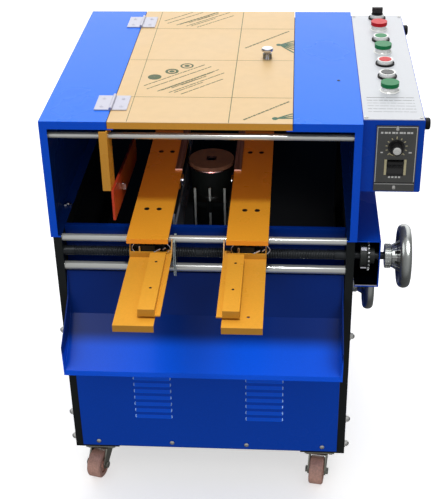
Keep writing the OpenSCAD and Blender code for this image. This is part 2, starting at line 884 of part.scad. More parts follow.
module spindle_shaft() {
    top = lap_z - 11;
    color(steel) placed() {
        z_rod(5, lap_x, lap_y, top - 10, lap_z - 2);
        z_rod(lap_d / 2 - 1, lap_x, lap_y, top + 1, lap_z - 7);
        translate([lap_x, lap_y, lap_z - 7]) cylinder(r = 7, h = 4.5, $fn = 6);
    }
}

module lap_disc() {
    color([0.45, 0.28, 0.2]) placed() difference() {
        z_rod(lap_d / 2, lap_x, lap_y, lap_z - 7, lap_z);
        z_rod(8, lap_x, lap_y, lap_z - 10, lap_z + 1);
    }
}

module lift_screw() {
    color(steel) placed() {
        z_rod(rod_r, lap_x, lift_y, lift_z + bevel_near, 466);
        translate([lap_x, lift_y, lift_z]) bevel_gear(rod_r - 0.5);
    }
}

module lift_handwheel() {
    color(steel) placed() {
        dished_wheel(lift_wheel_x, lift_y, lift_z, shaft_r - 0.5);
        x_rod(shaft_r, lap_x + bevel_near + 4, lift_wheel_x + 2, lift_y, lift_z);
        translate([lap_x, lift_y, lift_z]) rotate([0, 90, 0]) rotate([0, 0, 11.25]) bevel_gear(shaft_r - 0.5);
    }
}

// ---------- console ----------

module console_box() {
    x1 = con_x + con_w;
    y1 = con_front + con_l;
    color(blue) placed() difference() {
        block([con_x, con_front, con_low], [x1, y1, top_z - plate_t]);
        block([con_x + sheet, con_front + sheet, con_low + sheet], [x1 - sheet, y1 - sheet, top_z]);
        // Rounded lower front corners
        for (side = [0, 1]) {
            translate([side ? x1 : con_x, 0, con_low]) rotate([-90, 0, 0]) difference() {
                translate([side ? -3 : -1, -3, con_front - 1]) cube([4, 4, con_l + 2]);
                translate([side ? -3 : 3, -3, con_front - 2]) cylinder(r = 3, h = con_l + 4);
            }
        }
        // Cut-out behind the rocker switch
        block([speed_x - 12, con_front - 1, rocker_z - 13.5],
              [speed_x + 12, con_front + sheet + 1, rocker_z + 13.5]);
    }
}

module console_plate() {
    margin = 2;
    color(pale_grey) placed() difference() {
        union() {
            block([con_x + margin + 0.5, con_front + margin + 0.5, top_z - plate_t - 1],
                  [con_x + con_w - margin - 0.5, con_front + con_l - margin - 0.5, top_z - plate_t]);
            block([con_x + 1, con_front + 1, top_z - plate_t],
                  [con_x + con_w - 1, con_front + con_l - 1, top_z]);
        }
        for (i = [0 : selector_i]) {
            z_rod(11.2, button_x, button_y(i), top_z - 10, top_z + 5);
        }
    }
}

// Fixed bodies of the buttons: a bezel above the plate and a barrel below it
module button_bezels() {
    color(steel) placed() for (i = [0 : selector_i]) {
        translate([button_x, button_y(i), 0]) difference() {
            union() {
                translate([0, 0, top_z]) cylinder(r1 = bezel_d / 2, r2 = bezel_r, h = 1.8);
                translate([0, 0, top_z]) cylinder(r = bezel_r, h = bezel_h);
                translate([0, 0, top_z - 32]) cylinder(r = 11.1, h = 33);
                translate([0, 0, top_z - 8]) cylinder(r = 14, h = 4);
            }
            translate([0, 0, top_z - 20]) cylinder(r = cap_r + 0.05 - 1.4, h = 40);
            translate([0, 0, top_z - 1]) cylinder(r = cap_r + 0.05, h = 40);
        }
    }
}

// One push-button cap: stem inside the barrel; a raised cap has a skirt that slides over the bezel
module button_cap(i, tint) {
    h = cap_heights[i];
    color(tint) placed() translate([button_x, button_y(i), top_z]) {
        translate([0, 0, -16]) cylinder(r = cap_r - 1.5, h = 20);
        translate([0, 0, 2.2]) cylinder(r = cap_r, h = h - 2.7);
        if (h > bezel_h + 3) {
            difference() {
                translate([0, 0, bezel_h - 0.3]) cylinder(r = bezel_r + 1.5, h = h - bezel_h + 0.3);
                translate([0, 0, bezel_h - 1]) cylinder(r = bezel_r + 0.3, h = 4.8);
            }
        } else {
            translate([0, 0, h - 0.5]) cylinder(r1 = cap_r, r2 = cap_r - 0.5, h = 0.5);
        }
    }
}
module button_green_front() {
    button_cap(0, green);
}
module button_black() {
    button_cap(1, black);
}
module button_red_low() {
    button_cap(2, red);
}
module button_green_mid() {
    button_cap(3, green);
}
module button_green_low() {
    button_cap(4, green);
}
module button_red_back() {
    button_cap(5, red);
}

module selector_knob() {
    color(black) placed() translate([button_x, button_y(selector_i), top_z]) {
        translate([0, 0, -16]) cylinder(r = cap_r - 1.5, h = 18);
        translate([0, 0, 1.5]) cylinder(r = cap_r, h = 8);
        // Lever across the disc
        translate([-9.4, -3.5, 9]) cube([18.8, 7, 12]);
    }
}

module console_bumpers() {
    x1 = con_x + con_w;
    color(black) placed() for (y = [46, 452]) {
        translate([x1, y, top_z - 18]) rotate([0, 90, 0]) {
            cylinder(r = 5, h = 3);
            translate([0, 0, 3]) cylinder(r = 9, h = 6);
            translate([0, 0, 9]) cylinder(r1 = 9, r2 = 7, h = 1.5);
        }
    }
}

module speed_panel() {
    color(panel_grey) placed() difference() {
        block([speed_x - speed_w / 2, speed_front, speed_mid_z - speed_h / 2],
              [speed_x + speed_w / 2, con_front, speed_mid_z + speed_h / 2]);
        // Recess of the rocker and seat of the knob's shaft
        block([speed_x - 12, speed_front - 1, rocker_z - 13.5], [speed_x + 12, con_front + 1, rocker_z + 13.5]);
        x_rod(pivot_r + run, speed_x - 14, speed_x + 14, pivot_y, rocker_z);
        y_rod(3 + run, speed_x, speed_front - 1, con_front + 1, speed_knob_z);
    }
}

module speed_knob() {
    color(black) placed() translate([speed_x, speed_front, speed_knob_z]) rotate([90, 0, 0]) {
        translate([0, 0, -speed_t + 0.5]) cylinder(r = 3, h = speed_t + 1);
        translate([0, 0, 0.5]) cylinder(r1 = 12, r2 = 11, h = 3);
        difference() {
            translate([0, 0, 3.5]) cylinder(r1 = 9, r2 = 8, h = 10);
            translate([-0.6, 3, 12.7]) cube([1.2, 6, 2]);
        }
    }
}

module rocker_switch() {
    r = 17;
    color(black) placed() translate([speed_x, pivot_y, rocker_z]) rotate([rocker_tilt, 0, 0]) {
        intersection() {
            translate([-11.5, -4.5, -12.5]) cube([23, 5.5, 25]);
            translate([-11.5, -r + 2, 0]) difference() {
                translate([0, r - 9, -13]) cube([23, 9, 26]);
                translate([-1, 1.5, 0]) rotate([0, 90, 0]) cylinder(r = r - 5, h = 25);
            }
        }
        // Pivot pin, held at both ends in the panel
        x_rod(pivot_r, -13.5, 13.5, 0, 0);
    }
}

// ---------- casters ----------

module caster_plates() {
    color(steel) placed() for (s = caster_spots) {
        translate([s[0], s[1], base_z]) difference() {
            union() {
                translate([-26, -23, -3]) cube([52, 46, 3]);
                translate([0, 0, -7]) cylinder(r = 16, h = 5);
                for (dx = [-20, 20]) {
                    for (dy = [-17, 17]) {
                        translate([dx, dy, -6]) cylinder(r = 4.6, h = 3.5, $fn = 6);
                    }
                }
            }
            translate([0, 0, -10]) cylinder(r = 5 + run, h = 20);
        }
    }
}

// Fork with its kingpin and axle, swivelled by its own angle
module caster_fork(i) {
    s = caster_spots[i];
    wheel_r = caster_d / 2;
    leg = [
        [-18, base_z - 8], [18, base_z - 8], [18, base_z - 14],
        [-caster_trail + 8, wheel_r - 4], [-caster_trail - 8, wheel_r - 4], [-caster_trail - 8, wheel_r + 6]
    ];
    color(steel) placed() translate([s[0], s[1], 0]) rotate([0, 0, s[2]]) {
        difference() {
            union() {
                translate([-fork_gap - 2.5, -18, base_z - 10]) cube([2 * fork_gap + 5, 36, 2.5]);
                yz_plate(leg, -fork_gap - 2.5, -fork_gap);
                yz_plate(leg, fork_gap, fork_gap + 2.5);
            }
            block([-fork_gap, -60, 0], [fork_gap, 40, base_z - 10]);
        }
        z_rod(5, 0, 0, base_z - 10, base_z + 2);
        x_rod(4, -fork_gap - 4, fork_gap + 4, -caster_trail, wheel_r);
        for (side = [-1, 1]) {
            translate([side * (fork_gap + 2.5), -caster_trail, wheel_r]) rotate([0, side * 90, 0])
                cylinder(r = 6.2, h = 4, $fn = 6);
        }
    }
}
module caster_fork_fl() {
    caster_fork(0);
}
module caster_fork_fr() {
    caster_fork(1);
}
module caster_fork_rl() {
    caster_fork(2);
}
module caster_fork_rr() {
    caster_fork(3);
}

module caster_wheel(i) {
    s = caster_spots[i];
    w = caster_w / 2;
    r = caster_d / 2;
    profile = [
        [4 + run, -w - 1], [9, -w - 1], [9, -w + 3], [16, -w + 3], [16, -w], [r - 2, -w], [r, -w + 2],
        [r, w - 2], [r - 2, w], [16, w], [16, w - 3], [9, w - 3], [9, w + 1], [4 + run, w + 1]
    ];
    color([0.45, 0.16, 0.12]) placed() translate([s[0], s[1], 0]) rotate([0, 0, s[2]])
        translate([0, -caster_trail, r]) rotate([0, 90, 0]) rotate_extrude() polygon(profile);
}
module caster_wheel_fl() {
    caster_wheel(0);
}
module caster_wheel_fr() {
    caster_wheel(1);
}
module caster_wheel_rl() {
    caster_wheel(2);
}
module caster_wheel_rr() {
    caster_wheel(3);
}

// ---------- fasteners ----------

module fasteners() {
    plate_corners = [[5, 8], [con_w - 5, 8], [5, con_l - 8], [con_w - 5, con_l - 8]];
    color(steel) placed() {
        // Console plate
        for (c = plate_corners) {
            translate([con_x + c[0], con_front + c[1], top_z]) screw_head(3, 1.6);
        }
        // Foot of the front panel
        for (x = [-195, -65, 66, 198]) {
            translate([x, 0, 78]) rotate([90, 0, 0]) screw_head(4, 2.4);
        }
        // Speed panel
        for (z = [-speed_h / 2 + 5, speed_h / 2 - 5]) {
            translate([speed_x, speed_front, speed_mid_z + z]) rotate([90, 0, 0]) screw_head(2.6, 1.4);
        }
        // Catch tray's ears
        for (side = [-1, 1]) {
            translate([side * (post_in - 1 - sheet), 10, 371]) rotate([0, -side * 90, 0]) screw_head(4.5, 2.6);
        }
        // Domed nuts on the frame's sides
        for (side = [-1, 1]) {
            for (z = [78, 133, 308]) {
                translate([side * post_out, shaft_y, z]) rotate([0, side * 90, 0]) acorn_nut();
            }
        }
    }
}

module power_inlet() {
    color(black) placed() translate([-190, post_back + gap + sheet, 118]) difference() {
        union() {
            translate([-20, 0, -14]) cube([40, 2, 28]);
            translate([-13.8, -20, -11.8]) cube([27.6, 21, 23.6]);
        }
        translate([-11.5, -14, -8]) cube([23, 20, 16]);
        for (dx = [-17, 17]) {
            translate([dx, -1, 0]) rotate([-90, 0, 0]) cylinder(r = 1.6, h = 5);
        }
    }
}

frame();
upper_housing();
front_panel();
rear_panels();
catch_tray();
guard_rod();
guard_hanger();
guard_plate();
lid_panel();
lid_film();
lid_knob();
hinge_fixed_leaves();
hinge_moving_leaves();
guide_rods();
lead_screw();
screw_coupling();
handwheel();
drive_box();
left_carriage();
right_carriage();
left_cover();
right_cover();
left_tray();
right_tray();
left_splash_plate();
right_splash_plate();
left_chuck();
right_chuck();
lift_rods();
lift_carrier();
spindle_motor();
spindle_shaft();
lap_disc();
lift_screw();
lift_handwheel();
console_box();
console_plate();
button_bezels();
console_bumpers();
speed_panel();
button_green_front();
button_black();
button_red_low();
button_green_mid();
button_green_low();
button_red_back();
selector_knob();
speed_knob();
rocker_switch();
caster_plates();
caster_fork_fl();
caster_fork_fr();
caster_fork_rl();
caster_fork_rr();
caster_wheel_fl();
caster_wheel_fr();
caster_wheel_rl();
caster_wheel_rr();
fasteners();
power_inlet();
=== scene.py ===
import json
import random
from math import cos, pi, radians, sin

import bmesh
import bpy
from mathutils import Matrix, Vector

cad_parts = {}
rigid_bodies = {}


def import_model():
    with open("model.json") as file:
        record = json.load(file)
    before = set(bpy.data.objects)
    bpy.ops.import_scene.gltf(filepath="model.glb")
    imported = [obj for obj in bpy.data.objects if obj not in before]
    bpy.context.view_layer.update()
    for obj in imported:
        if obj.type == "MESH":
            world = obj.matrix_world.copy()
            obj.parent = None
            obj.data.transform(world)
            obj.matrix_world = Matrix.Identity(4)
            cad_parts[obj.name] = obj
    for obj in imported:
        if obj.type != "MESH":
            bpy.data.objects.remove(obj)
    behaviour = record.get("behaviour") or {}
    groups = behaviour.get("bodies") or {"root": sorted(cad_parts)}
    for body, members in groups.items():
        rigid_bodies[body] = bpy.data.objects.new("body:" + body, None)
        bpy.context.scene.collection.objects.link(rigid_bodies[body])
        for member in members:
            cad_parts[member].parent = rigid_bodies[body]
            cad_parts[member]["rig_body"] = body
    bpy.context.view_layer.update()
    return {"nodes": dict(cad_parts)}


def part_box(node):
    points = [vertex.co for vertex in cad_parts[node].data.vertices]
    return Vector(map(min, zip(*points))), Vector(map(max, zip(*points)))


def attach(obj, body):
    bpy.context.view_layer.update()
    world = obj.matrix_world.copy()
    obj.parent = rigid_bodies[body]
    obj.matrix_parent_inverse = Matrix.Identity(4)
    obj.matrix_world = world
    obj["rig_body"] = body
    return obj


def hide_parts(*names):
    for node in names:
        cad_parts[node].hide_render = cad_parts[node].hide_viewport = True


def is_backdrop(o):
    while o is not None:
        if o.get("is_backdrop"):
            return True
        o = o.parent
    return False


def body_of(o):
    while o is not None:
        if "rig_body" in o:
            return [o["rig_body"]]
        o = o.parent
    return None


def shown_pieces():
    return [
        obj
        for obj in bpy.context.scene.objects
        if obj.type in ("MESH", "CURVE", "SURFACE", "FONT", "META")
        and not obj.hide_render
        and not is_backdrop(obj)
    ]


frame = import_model()
scene = bpy.context.scene
rng = random.Random(7)

# Lengths below are millimetres in the machine's own coordinates: X from the cabinet's middle,
# Y back from the housing's front face, Z up from the floor.
housing_low, housing_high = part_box("upper_housing")
MID_X = (housing_low.x + housing_high.x) / 2
FRONT_Y = housing_low.y
TO_ROW = Matrix.Translation((MID_X, FRONT_Y, 0)) @ Matrix.Diagonal((0.001, 0.001, 0.001, 1))


def span(node):
    """A CAD node's lowest and highest corner in machine millimetres."""
    low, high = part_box(node)
    back = TO_ROW.inverted()
    return back @ low, back @ high


# ---------------------------------------------------------------- camera

# Fitted to the straight edges of the cabinet: a place in machine millimetres and turns in radians
CAMERA_PLACE = (137.187, -1451.906, 1353.455)
CAMERA_PAN, CAMERA_TILT, CAMERA_ROLL = 0.0763824, -0.541801, 0.0218197
CAMERA_LENS = 78.23

camera = bpy.data.objects.new("camera", bpy.data.cameras.new("camera"))
scene.collection.objects.link(camera)
camera.data.lens = CAMERA_LENS
camera.data.clip_start = 0.05
camera.data.clip_end = 100
turn = Matrix.Rotation(CAMERA_PAN, 3, "Z") @ Matrix.Rotation(CAMERA_TILT, 3, "X")
turn = turn @ Matrix.Rotation(CAMERA_ROLL, 3, "Y")
aim = (turn @ Matrix.Rotation(pi / 2, 3, "X")).to_4x4()
camera.matrix_world = Matrix.Translation(TO_ROW @ Vector(CAMERA_PLACE)) @ aim
scene.camera = camera
scene.view_settings.view_transform = "Standard"

# ---------------------------------------------------------------- shader nodes


def add(tree, kind, inputs=None, **props):
    """A node with its properties set and its inputs linked or given values."""
    made = tree.nodes.new(kind)
    for key, value in props.items():
        setattr(made, key, value)
    for key, value in (inputs or {}).items():
        if isinstance(value, bpy.types.NodeSocket):
            tree.links.new(value, made.inputs[key])
        else:
            made.inputs[key].default_value = value
    return made


def product(tree, a, b):
    return add(tree, "ShaderNodeMath", {0: a, 1: b}, operation="MULTIPLY").outputs[0]


# ---------------------------------------------------------------- studio


def area_light(name, place, target, size, power, tint=(1, 1, 1)):
    data = bpy.data.lights.new(name, "AREA")
    data.shape = "DISK"
    data.size = size
    data.energy = power
    data.color = tint
    obj = bpy.data.objects.new(name, data)
    scene.collection.objects.link(obj)
    obj.location = TO_ROW @ Vector(place)
    way = obj.location - TO_ROW @ Vector(target)
    obj.rotation_euler = way.to_track_quat("Z", "Y").to_euler()
    return obj


# Each lamp falls on its own bodies or nodes, which keeps the floor and the deep chamber calm
INSIDE = ("guard", "lift", "lap", "lift_screw", "left_chuck", "right_chuck", "left_arm", "right_arm")
TOPS = ("lid", "selector", "speed_knob", "rocker", "button_green_front", "button_black", "button_red_low",
        "button_green_mid", "button_green_low", "button_red_back")
LAMPS = [
    (area_light("key", (60, -529, 1497), (0, 0, 480), 0.1, 7.0),
     INSIDE, ("guide_rods", "guard_rod", "lift_rods", "button_bezels", "button_collars")),
    (area_light("side_left", (-800, -529, 1497), (0, 0, 480), 1.1, 13),
     ("screw", "lift_handwheel"), ("catch_tray", "drive_box", "frame", "caster_plates", "louvre_ends")),
    (area_light("side_right", (850, -529, 1497), (0, 0, 480), 1.1, 18),
     ("screw", "lift_handwheel"), ("catch_tray", "frame", "caster_plates", "louvre_ends")),
    (area_light("chamber_fill", (0, -900, 850), (0, 150, 505), 0.4, 9, (1.0, 0.4, 0.4)),
     ("lap",), ("left_cover", "right_cover", "right_splash_plate")),
    (area_light("chamber_glow", (0, -900, 850), (0, 150, 505), 0.4, 2.5),
     ("lift", "left_chuck", "right_chuck"), ("lift_rods", "lift_screw", "rear_panels", "upper_housing")),
    (area_light("top", (0, 300, 4200), (0, 300, 600), 1.2, 46),
     TOPS, ("upper_housing", "console_box", "console_plate", "button_bezels", "console_bumpers",
            "hinge_fixed_leaves")),
]

# Bright walls of the studio: the way to each, where its glow starts and is full (cosines), its level
WALLS = [((0, 0.87, 0.5), 0.55, 0.95, 1.8), ((0, -0.97, 0.25), 0.2, 0.95, 0.5),
         ((0, 0.1, 0.98), 0.75, 0.99, 0.7)]
AMBIENT = 0.14
BACKDROP = 1.8


def sky_world():
    """A dim studio with soft bright walls behind, in front of and above the machine."""
    world = bpy.data.worlds.new("studio")
    scene.world = world
    world.use_nodes = True
    tree = world.node_tree
    sky = tree.nodes["Background"]
    sky.inputs["Color"].default_value = (1, 1, 1, 1)
    where = add(tree, "ShaderNodeTexCoord")
    total = None
    for toward_wall, start, end, level in WALLS:
        ahead = Vector(toward_wall).normalized()
        near = add(tree, "ShaderNodeVectorMath", {0: where.outputs["Generated"], 1: ahead},
                   operation="DOT_PRODUCT")
        glow = add(tree, "ShaderNodeMapRange", {0: near.outputs["Value"], 1: start, 2: end, 3: 0.0, 4: level},
                   interpolation_type="SMOOTHSTEP")
        if total is None:
            total = add(tree, "ShaderNodeMath", {0: glow.outputs[0], 1: AMBIENT}, operation="ADD")
        else:
            total = add(tree, "ShaderNodeMath", {0: glow.outputs[0], 1: total.outputs[0]}, operation="ADD")
    # The studio is white all round where the camera sees it directly
    seen = add(tree, "ShaderNodeLightPath")
    direct = product(tree, seen.outputs["Is Camera Ray"], BACKDROP)
    total = add(tree, "ShaderNodeMath", {0: direct, 1: total.outputs[0]}, operation="ADD")
    tree.links.new(total.outputs[0], sky.inputs["Strength"])


sky_world()

# ---------------------------------------------------------------- materials


def scaled(color, factor):
    return tuple(min(1.0, c * factor) for c in color[:3]) + (1,)


def surface(name, color, rough, metal=0.0, tint=0.06, tint_scale=7.0, grain=500.0, depth=0.00004,
            stretch=(1, 1, 1), rough_vary=0.06, **sockets):
    """A Principled material with mottled colour, uneven roughness and a fine bump."""
    mat = bpy.data.materials.new(name)
    mat.use_nodes = True
    tree = mat.node_tree
    bsdf = tree.nodes["Principled BSDF"]
    bsdf.inputs["Metallic"].default_value = metal
    for key, value in sockets.items():
        bsdf.inputs[key.replace("_", " ")].default_value = value
    where = add(tree, "ShaderNodeTexCoord")
    moved = add(tree, "ShaderNodeMapping", {"Vector": where.outputs["Object"], "Scale": stretch})
    broad = add(tree, "ShaderNodeTexNoise", {"Vector": moved.outputs[0], "Scale": tint_scale, "Detail": 4.0})
    fine = add(tree, "ShaderNodeTexNoise", {"Vector": moved.outputs[0], "Scale": grain, "Detail": 2.0})
    both = add(tree, "ShaderNodeMath", {0: broad.outputs[0], 1: fine.outputs[0]}, operation="ADD")
    tone = add(tree, "ShaderNodeMapRange", {0: both.outputs[0], 1: 0.7, 2: 1.3, 3: 0.0, 4: 1.0})
    mixed = add(tree, "ShaderNodeMix", {"Factor": tone.outputs[0]}, data_type="RGBA")
    mixed.inputs[6].default_value = scaled(color, 1 - tint)
    mixed.inputs[7].default_value = scaled(color, 1 + tint)
    tree.links.new(mixed.outputs[2], bsdf.inputs["Base Color"])
    spread = add(tree, "ShaderNodeMapRange", {0: broad.outputs[0], 1: 0.3, 2: 0.7,
                                              3: max(0.02, rough - rough_vary), 4: rough + rough_vary})
    tree.links.new(spread.outputs[0], bsdf.inputs["Roughness"])
    bump = add(tree, "ShaderNodeBump", {"Height": fine.outputs[0], "Strength": 0.5, "Distance": depth})
    tree.links.new(bump.outputs[0], bsdf.inputs["Normal"])
    mat["color_out"] = mixed.name
    return mat


def inside_box(tree, low, high):
    """1 within a box given in machine millimetres and 0 outside it."""
    low = TO_ROW @ Vector(low)
    high = TO_ROW @ Vector(high)
    where = add(tree, "ShaderNodeTexCoord")
    parts = add(tree, "ShaderNodeSeparateXYZ", {0: where.outputs["Object"]})
    inside = None
    for i in range(3):
        above = add(tree, "ShaderNodeMath", {0: parts.outputs[i], 1: low[i]}, operation="GREATER_THAN")
        below = add(tree, "ShaderNodeMath", {0: parts.outputs[i], 1: high[i]}, operation="LESS_THAN")
        both = product(tree, above.outputs[0], below.outputs[0])
        inside = both if inside is None else product(tree, inside, both)
    return inside


def repaint(mat, mask, color):
    """Mixes another colour over a material's colour where the mask is 1."""
    tree = mat.node_tree
    bsdf = tree.nodes["Principled BSDF"]
    under = tree.nodes[mat["color_out"]].outputs[2]
    over = add(tree, "ShaderNodeMix", {"Factor": mask, 6: under}, data_type="RGBA")
    over.inputs[7].default_value = color
    tree.links.new(over.outputs[2], bsdf.inputs["Base Color"])
    mat["color_out"] = over.name


def fade(tree, axis, start, end):
    """Runs from 0 at one machine coordinate to 1 at another."""
    ends = [Vector((0, 0, 0)), Vector((0, 0, 0))]
    ends[0][axis] = start
    ends[1][axis] = end
    ends = [(TO_ROW @ e)[axis] for e in ends]
    where = add(tree, "ShaderNodeTexCoord")
    parts = add(tree, "ShaderNodeSeparateXYZ", {0: where.outputs["Object"]})
    level = add(tree, "ShaderNodeMapRange", {0: parts.outputs[axis], 1: ends[0], 2: ends[1], 3: 0.0, 4: 1.0},
                interpolation_type="SMOOTHSTEP")
    return level.outputs[0]


def darken(mat, mask, factor):
    """Multiplies a material's colour by a factor where the mask is 1."""
    tree = mat.node_tree
    bsdf = tree.nodes["Principled BSDF"]
    under = tree.nodes[mat["color_out"]].outputs[2]
    over = add(tree, "ShaderNodeMix", {"Factor": mask, 6: under}, data_type="RGBA", blend_type="MULTIPLY")
    over.inputs[7].default_value = (factor, factor, factor, 1)
    tree.links.new(over.outputs[2], bsdf.inputs["Base Color"])
    mat["color_out"] = over.name


def wheel_shade(tree, near, far):
    """1 on the inner half of the handwheel rim that lies between two x values, where painted shade darkens
    the chrome.
    """
    low, high = fade(tree, 0, near, far), fade(tree, 0, far - 3, far - 3.5)
    return add(tree, "ShaderNodeMath", {0: low, 1: high}, operation="SUBTRACT").outputs[0]


def paint_front_shade(mat, factor):
    """Painted shade: darkens the faces that look forward."""
    tree = mat.node_tree
    where = add(tree, "ShaderNodeNewGeometry")
    parts = add(tree, "ShaderNodeSeparateXYZ", {0: where.outputs["Normal"]})
    mask = add(tree, "ShaderNodeMapRange", {0: parts.outputs["Y"], 1: -0.4, 2: -0.9, 3: 0.0, 4: 1.0})
    darken(mat, mask.outputs[0], factor)


BLUE = (0.0012, 0.070, 0.60)
AMBER = (0.78, 0.36, 0.035)
# Painted light and shade: a lighter blue for the housing's lit top, darker tones for the dim chamber walls
# and chamber floor
LIT_TOP_BLUE = (0.0012, 0.155, 0.82, 1)
CHAMBER_SHADE = (0.004, 0.030, 0.19, 1)
CHAMBER_FLOOR_SHADE = (0.003, 0.006, 0.012, 1)
POWDER = dict(tint=0.05, tint_scale=5, grain=420, depth=0.00006, Specular_IOR_Level=0.1)
blue = surface("blue_powder", BLUE, 0.24, **POWDER)
blue_in = surface("blue_powder_housing", BLUE, 0.24, **POWDER)
# Painted shade: the chamber's inside walls are a darker blue where little light reaches
repaint(blue_in, inside_box(blue_in.node_tree, (-239, 2.3, 490), (239, 497.2, 692)), CHAMBER_SHADE)
# Painted light: the housing's top is a lighter blue where the light falls on it
repaint(blue_in, inside_box(blue_in.node_tree, (-241, 0.3, 692.6), (241, 500, 694)), LIT_TOP_BLUE)
blue_rear = surface("blue_powder_panels", BLUE, 0.24, **POWDER)
# Painted shade: the panels' inside faces below the chamber are near black
repaint(blue_rear, inside_box(blue_rear.node_tree, (-238, 1, 0), (238, 496.5, 494)), CHAMBER_FLOOR_SHADE)
# Painted shade: the drive box is a darker copy of the blue, and the inside of its mouth is painted near black
shaded_blue_box = surface("blue_powder_drive_box", scaled(BLUE, 0.8), 0.24, **POWDER)
repaint(shaded_blue_box, inside_box(shaded_blue_box.node_tree, (236, 4.6, 411), (276, 174, 493)), (0.001, 0.002, 0.006, 1))
blue_tray = surface("blue_powder_chute", BLUE, 0.24, **POWDER)
# Painted shade: the chute's steep upper band, above z 335, is darkened to a fifth
darken(blue_tray, fade(blue_tray.node_tree, 2, 315, 335), 0.2)
blue_front = surface("blue_powder_front", BLUE, 0.24, **POWDER)
# Painted light: the louvre hoods are a lighter blue where they catch the light
hood_painted_light = inside_box(blue_front.node_tree, (-140, -4, 120), (140, -0.3, 240))
repaint(blue_front, hood_painted_light, scaled(BLUE, 1.9))
# Painted glint: a pale blue for the louvres' end cheeks
louvre_glint_blue = surface("blue_powder_louvre", (0.30, 0.52, 1.0), 0.12, tint=0.05, grain=420, depth=0.00002)
amber = surface("amber_paint", AMBER, 0.3, tint=0.05, tint_scale=8, grain=380, depth=0.00005,
                Specular_IOR_Level=0.3)
# Painted light: a lighter copy of the amber paint for the lid
lit_amber_lid = surface("amber_paint_lid", scaled(AMBER, 1.12), 0.3, tint=0.05, tint_scale=8, grain=380,
                    depth=0.00005, Specular_IOR_Level=0.3)
# Painted shade: a darker copy of the amber paint for the covers under the lid
shaded_amber_cover = surface("amber_paint_cover", (0.63, 0.315, 0.022), 0.3, tint=0.05, tint_scale=8, grain=380,
                      depth=0.00005, Specular_IOR_Level=0.3)
# Painted shade on the forward-facing faces of the amber trays, hanger and covers
for paint in (amber, shaded_amber_cover):
    paint_front_shade(paint, 0.62)
black = surface("frame_black", (0.006, 0.0075, 0.0075), 0.34, tint=0.2, tint_scale=12, grain=400,
                depth=0.00008, Specular_IOR_Level=0.15)
black_metal = surface("black_metal", (0.010, 0.012, 0.011), 0.42, tint=0.25, grain=500, depth=0.00008,
                      Specular_IOR_Level=0.25)
red = surface("red_plate", (0.44, 0.042, 0.015), 0.38, tint=0.12, tint_scale=14, grain=300, depth=0.00005,
              Specular_IOR_Level=0.2)
# Painted shade: the red plate darkens towards its back, to a fifth beyond y 120
darken(red, fade(red.node_tree, 1, 10, 120), 0.2)
chrome = surface("chrome", (0.38, 0.40, 0.39), 0.2, 0.8, tint=0.10, tint_scale=20, grain=900, depth=0.000006,
                 rough_vary=0.04)
# Painted shade on the inner half of both handwheel rims
for near, far in ((319, 305), (284, 270)):
    darken(chrome, wheel_shade(chrome.node_tree, near, far), 0.42)
# Painted shade on the chrome's forward-facing faces
paint_front_shade(chrome, 0.8)
chrome_rod = surface("chrome_rod", (0.50, 0.51, 0.49), 0.22, 0.55, tint=0.08, tint_scale=6, grain=260,
                     depth=0.000006, stretch=(0.06, 1, 1), rough_vary=0.05)
bright = surface("bright_chrome", (0.60, 0.60, 0.66), 0.16, 1.0, tint=0.05, tint_scale=30, grain=900,
                 depth=0.000006)
zinc = surface("zinc", (0.60, 0.60, 0.58), 0.3, 1.0, tint=0.12, tint_scale=60, grain=700, depth=0.00002)
leaf_metal = surface("hinge_metal", (0.46, 0.46, 0.54), 0.38, 0.35, tint=0.07, tint_scale=60, grain=700,
                     depth=0.00002)
fork_zinc = surface("fork_zinc", (0.30, 0.30, 0.26), 0.36, 1.0, tint=0.22, tint_scale=50, grain=600,
                    depth=0.00003)
steel = surface("steel", (0.55, 0.56, 0.57), 0.25, 1.0, tint=0.1, tint_scale=40, grain=800, depth=0.00001)
rod_steel = surface("lift_rod_steel", (0.70, 0.74, 0.70), 0.45, 0.1, tint=0.15, tint_scale=30, grain=800,
                    depth=0.00001, stretch=(1, 1, 0.15))
screw_steel = surface("screw_steel", (0.014, 0.016, 0.018), 0.30, 0.3, tint=0.25, tint_scale=60, grain=500,
                      depth=0.00003, Specular_IOR_Level=0.2)
cast = surface("cast_grey", (0.02, 0.021, 0.024), 0.45, 0.3, tint=0.3, tint_scale=50, grain=350,
               depth=0.00015)
smoke = surface("smoke_plate", (0.016, 0.016, 0.010), 0.3, tint=0.2, tint_scale=9, grain=300, depth=0.00003,
                Specular_IOR_Level=0.2)
clear = surface("clear_plate", (0.20, 0.22, 0.27), 0.2, tint=0.06, tint_scale=12, grain=300, depth=0.00001,
                Alpha=0.5, Specular_IOR_Level=0.3)
clear_edge = surface("clear_plate_edge", (0.42, 0.50, 0.46), 0.2, tint=0.06, tint_scale=60, grain=300,
                     depth=0.00001)
kraft = surface("kraft_film", (0.71, 0.495, 0.25), 0.42, tint=0.03, tint_scale=9, grain=60, depth=0.00012,
                Specular_IOR_Level=0.3)
print_green = surface("film_print", (0.085, 0.12, 0.05), 0.5, tint=0.25, tint_scale=90, grain=900,
                      depth=0.00001, Specular_IOR_Level=0.2)
print_leaf = surface("film_print_leaf", (0.015, 0.105, 0.05), 0.45, tint=0.25, tint_scale=120, grain=900,
                     depth=0.00001, Specular_IOR_Level=0.3)
grey_plate = surface("console_grey", (0.59, 0.61, 0.645), 0.34, tint=0.03, tint_scale=10, grain=500,
                     depth=0.00002, Specular_IOR_Level=0.3)
print_grey = surface("console_print", (0.20, 0.20, 0.21), 0.5, tint=0.2, tint_scale=200, grain=900,
                     depth=0.00001)
rubber = surface("black_rubber", (0.006, 0.006, 0.007), 0.5, tint=0.2, grain=700, depth=0.0001,
                 Specular_IOR_Level=0.2)
panel = surface("panel_grey", (0.10, 0.102, 0.098), 0.45, tint=0.16, tint_scale=30, grain=900, depth=0.00004,
                Specular_IOR_Level=0.25)
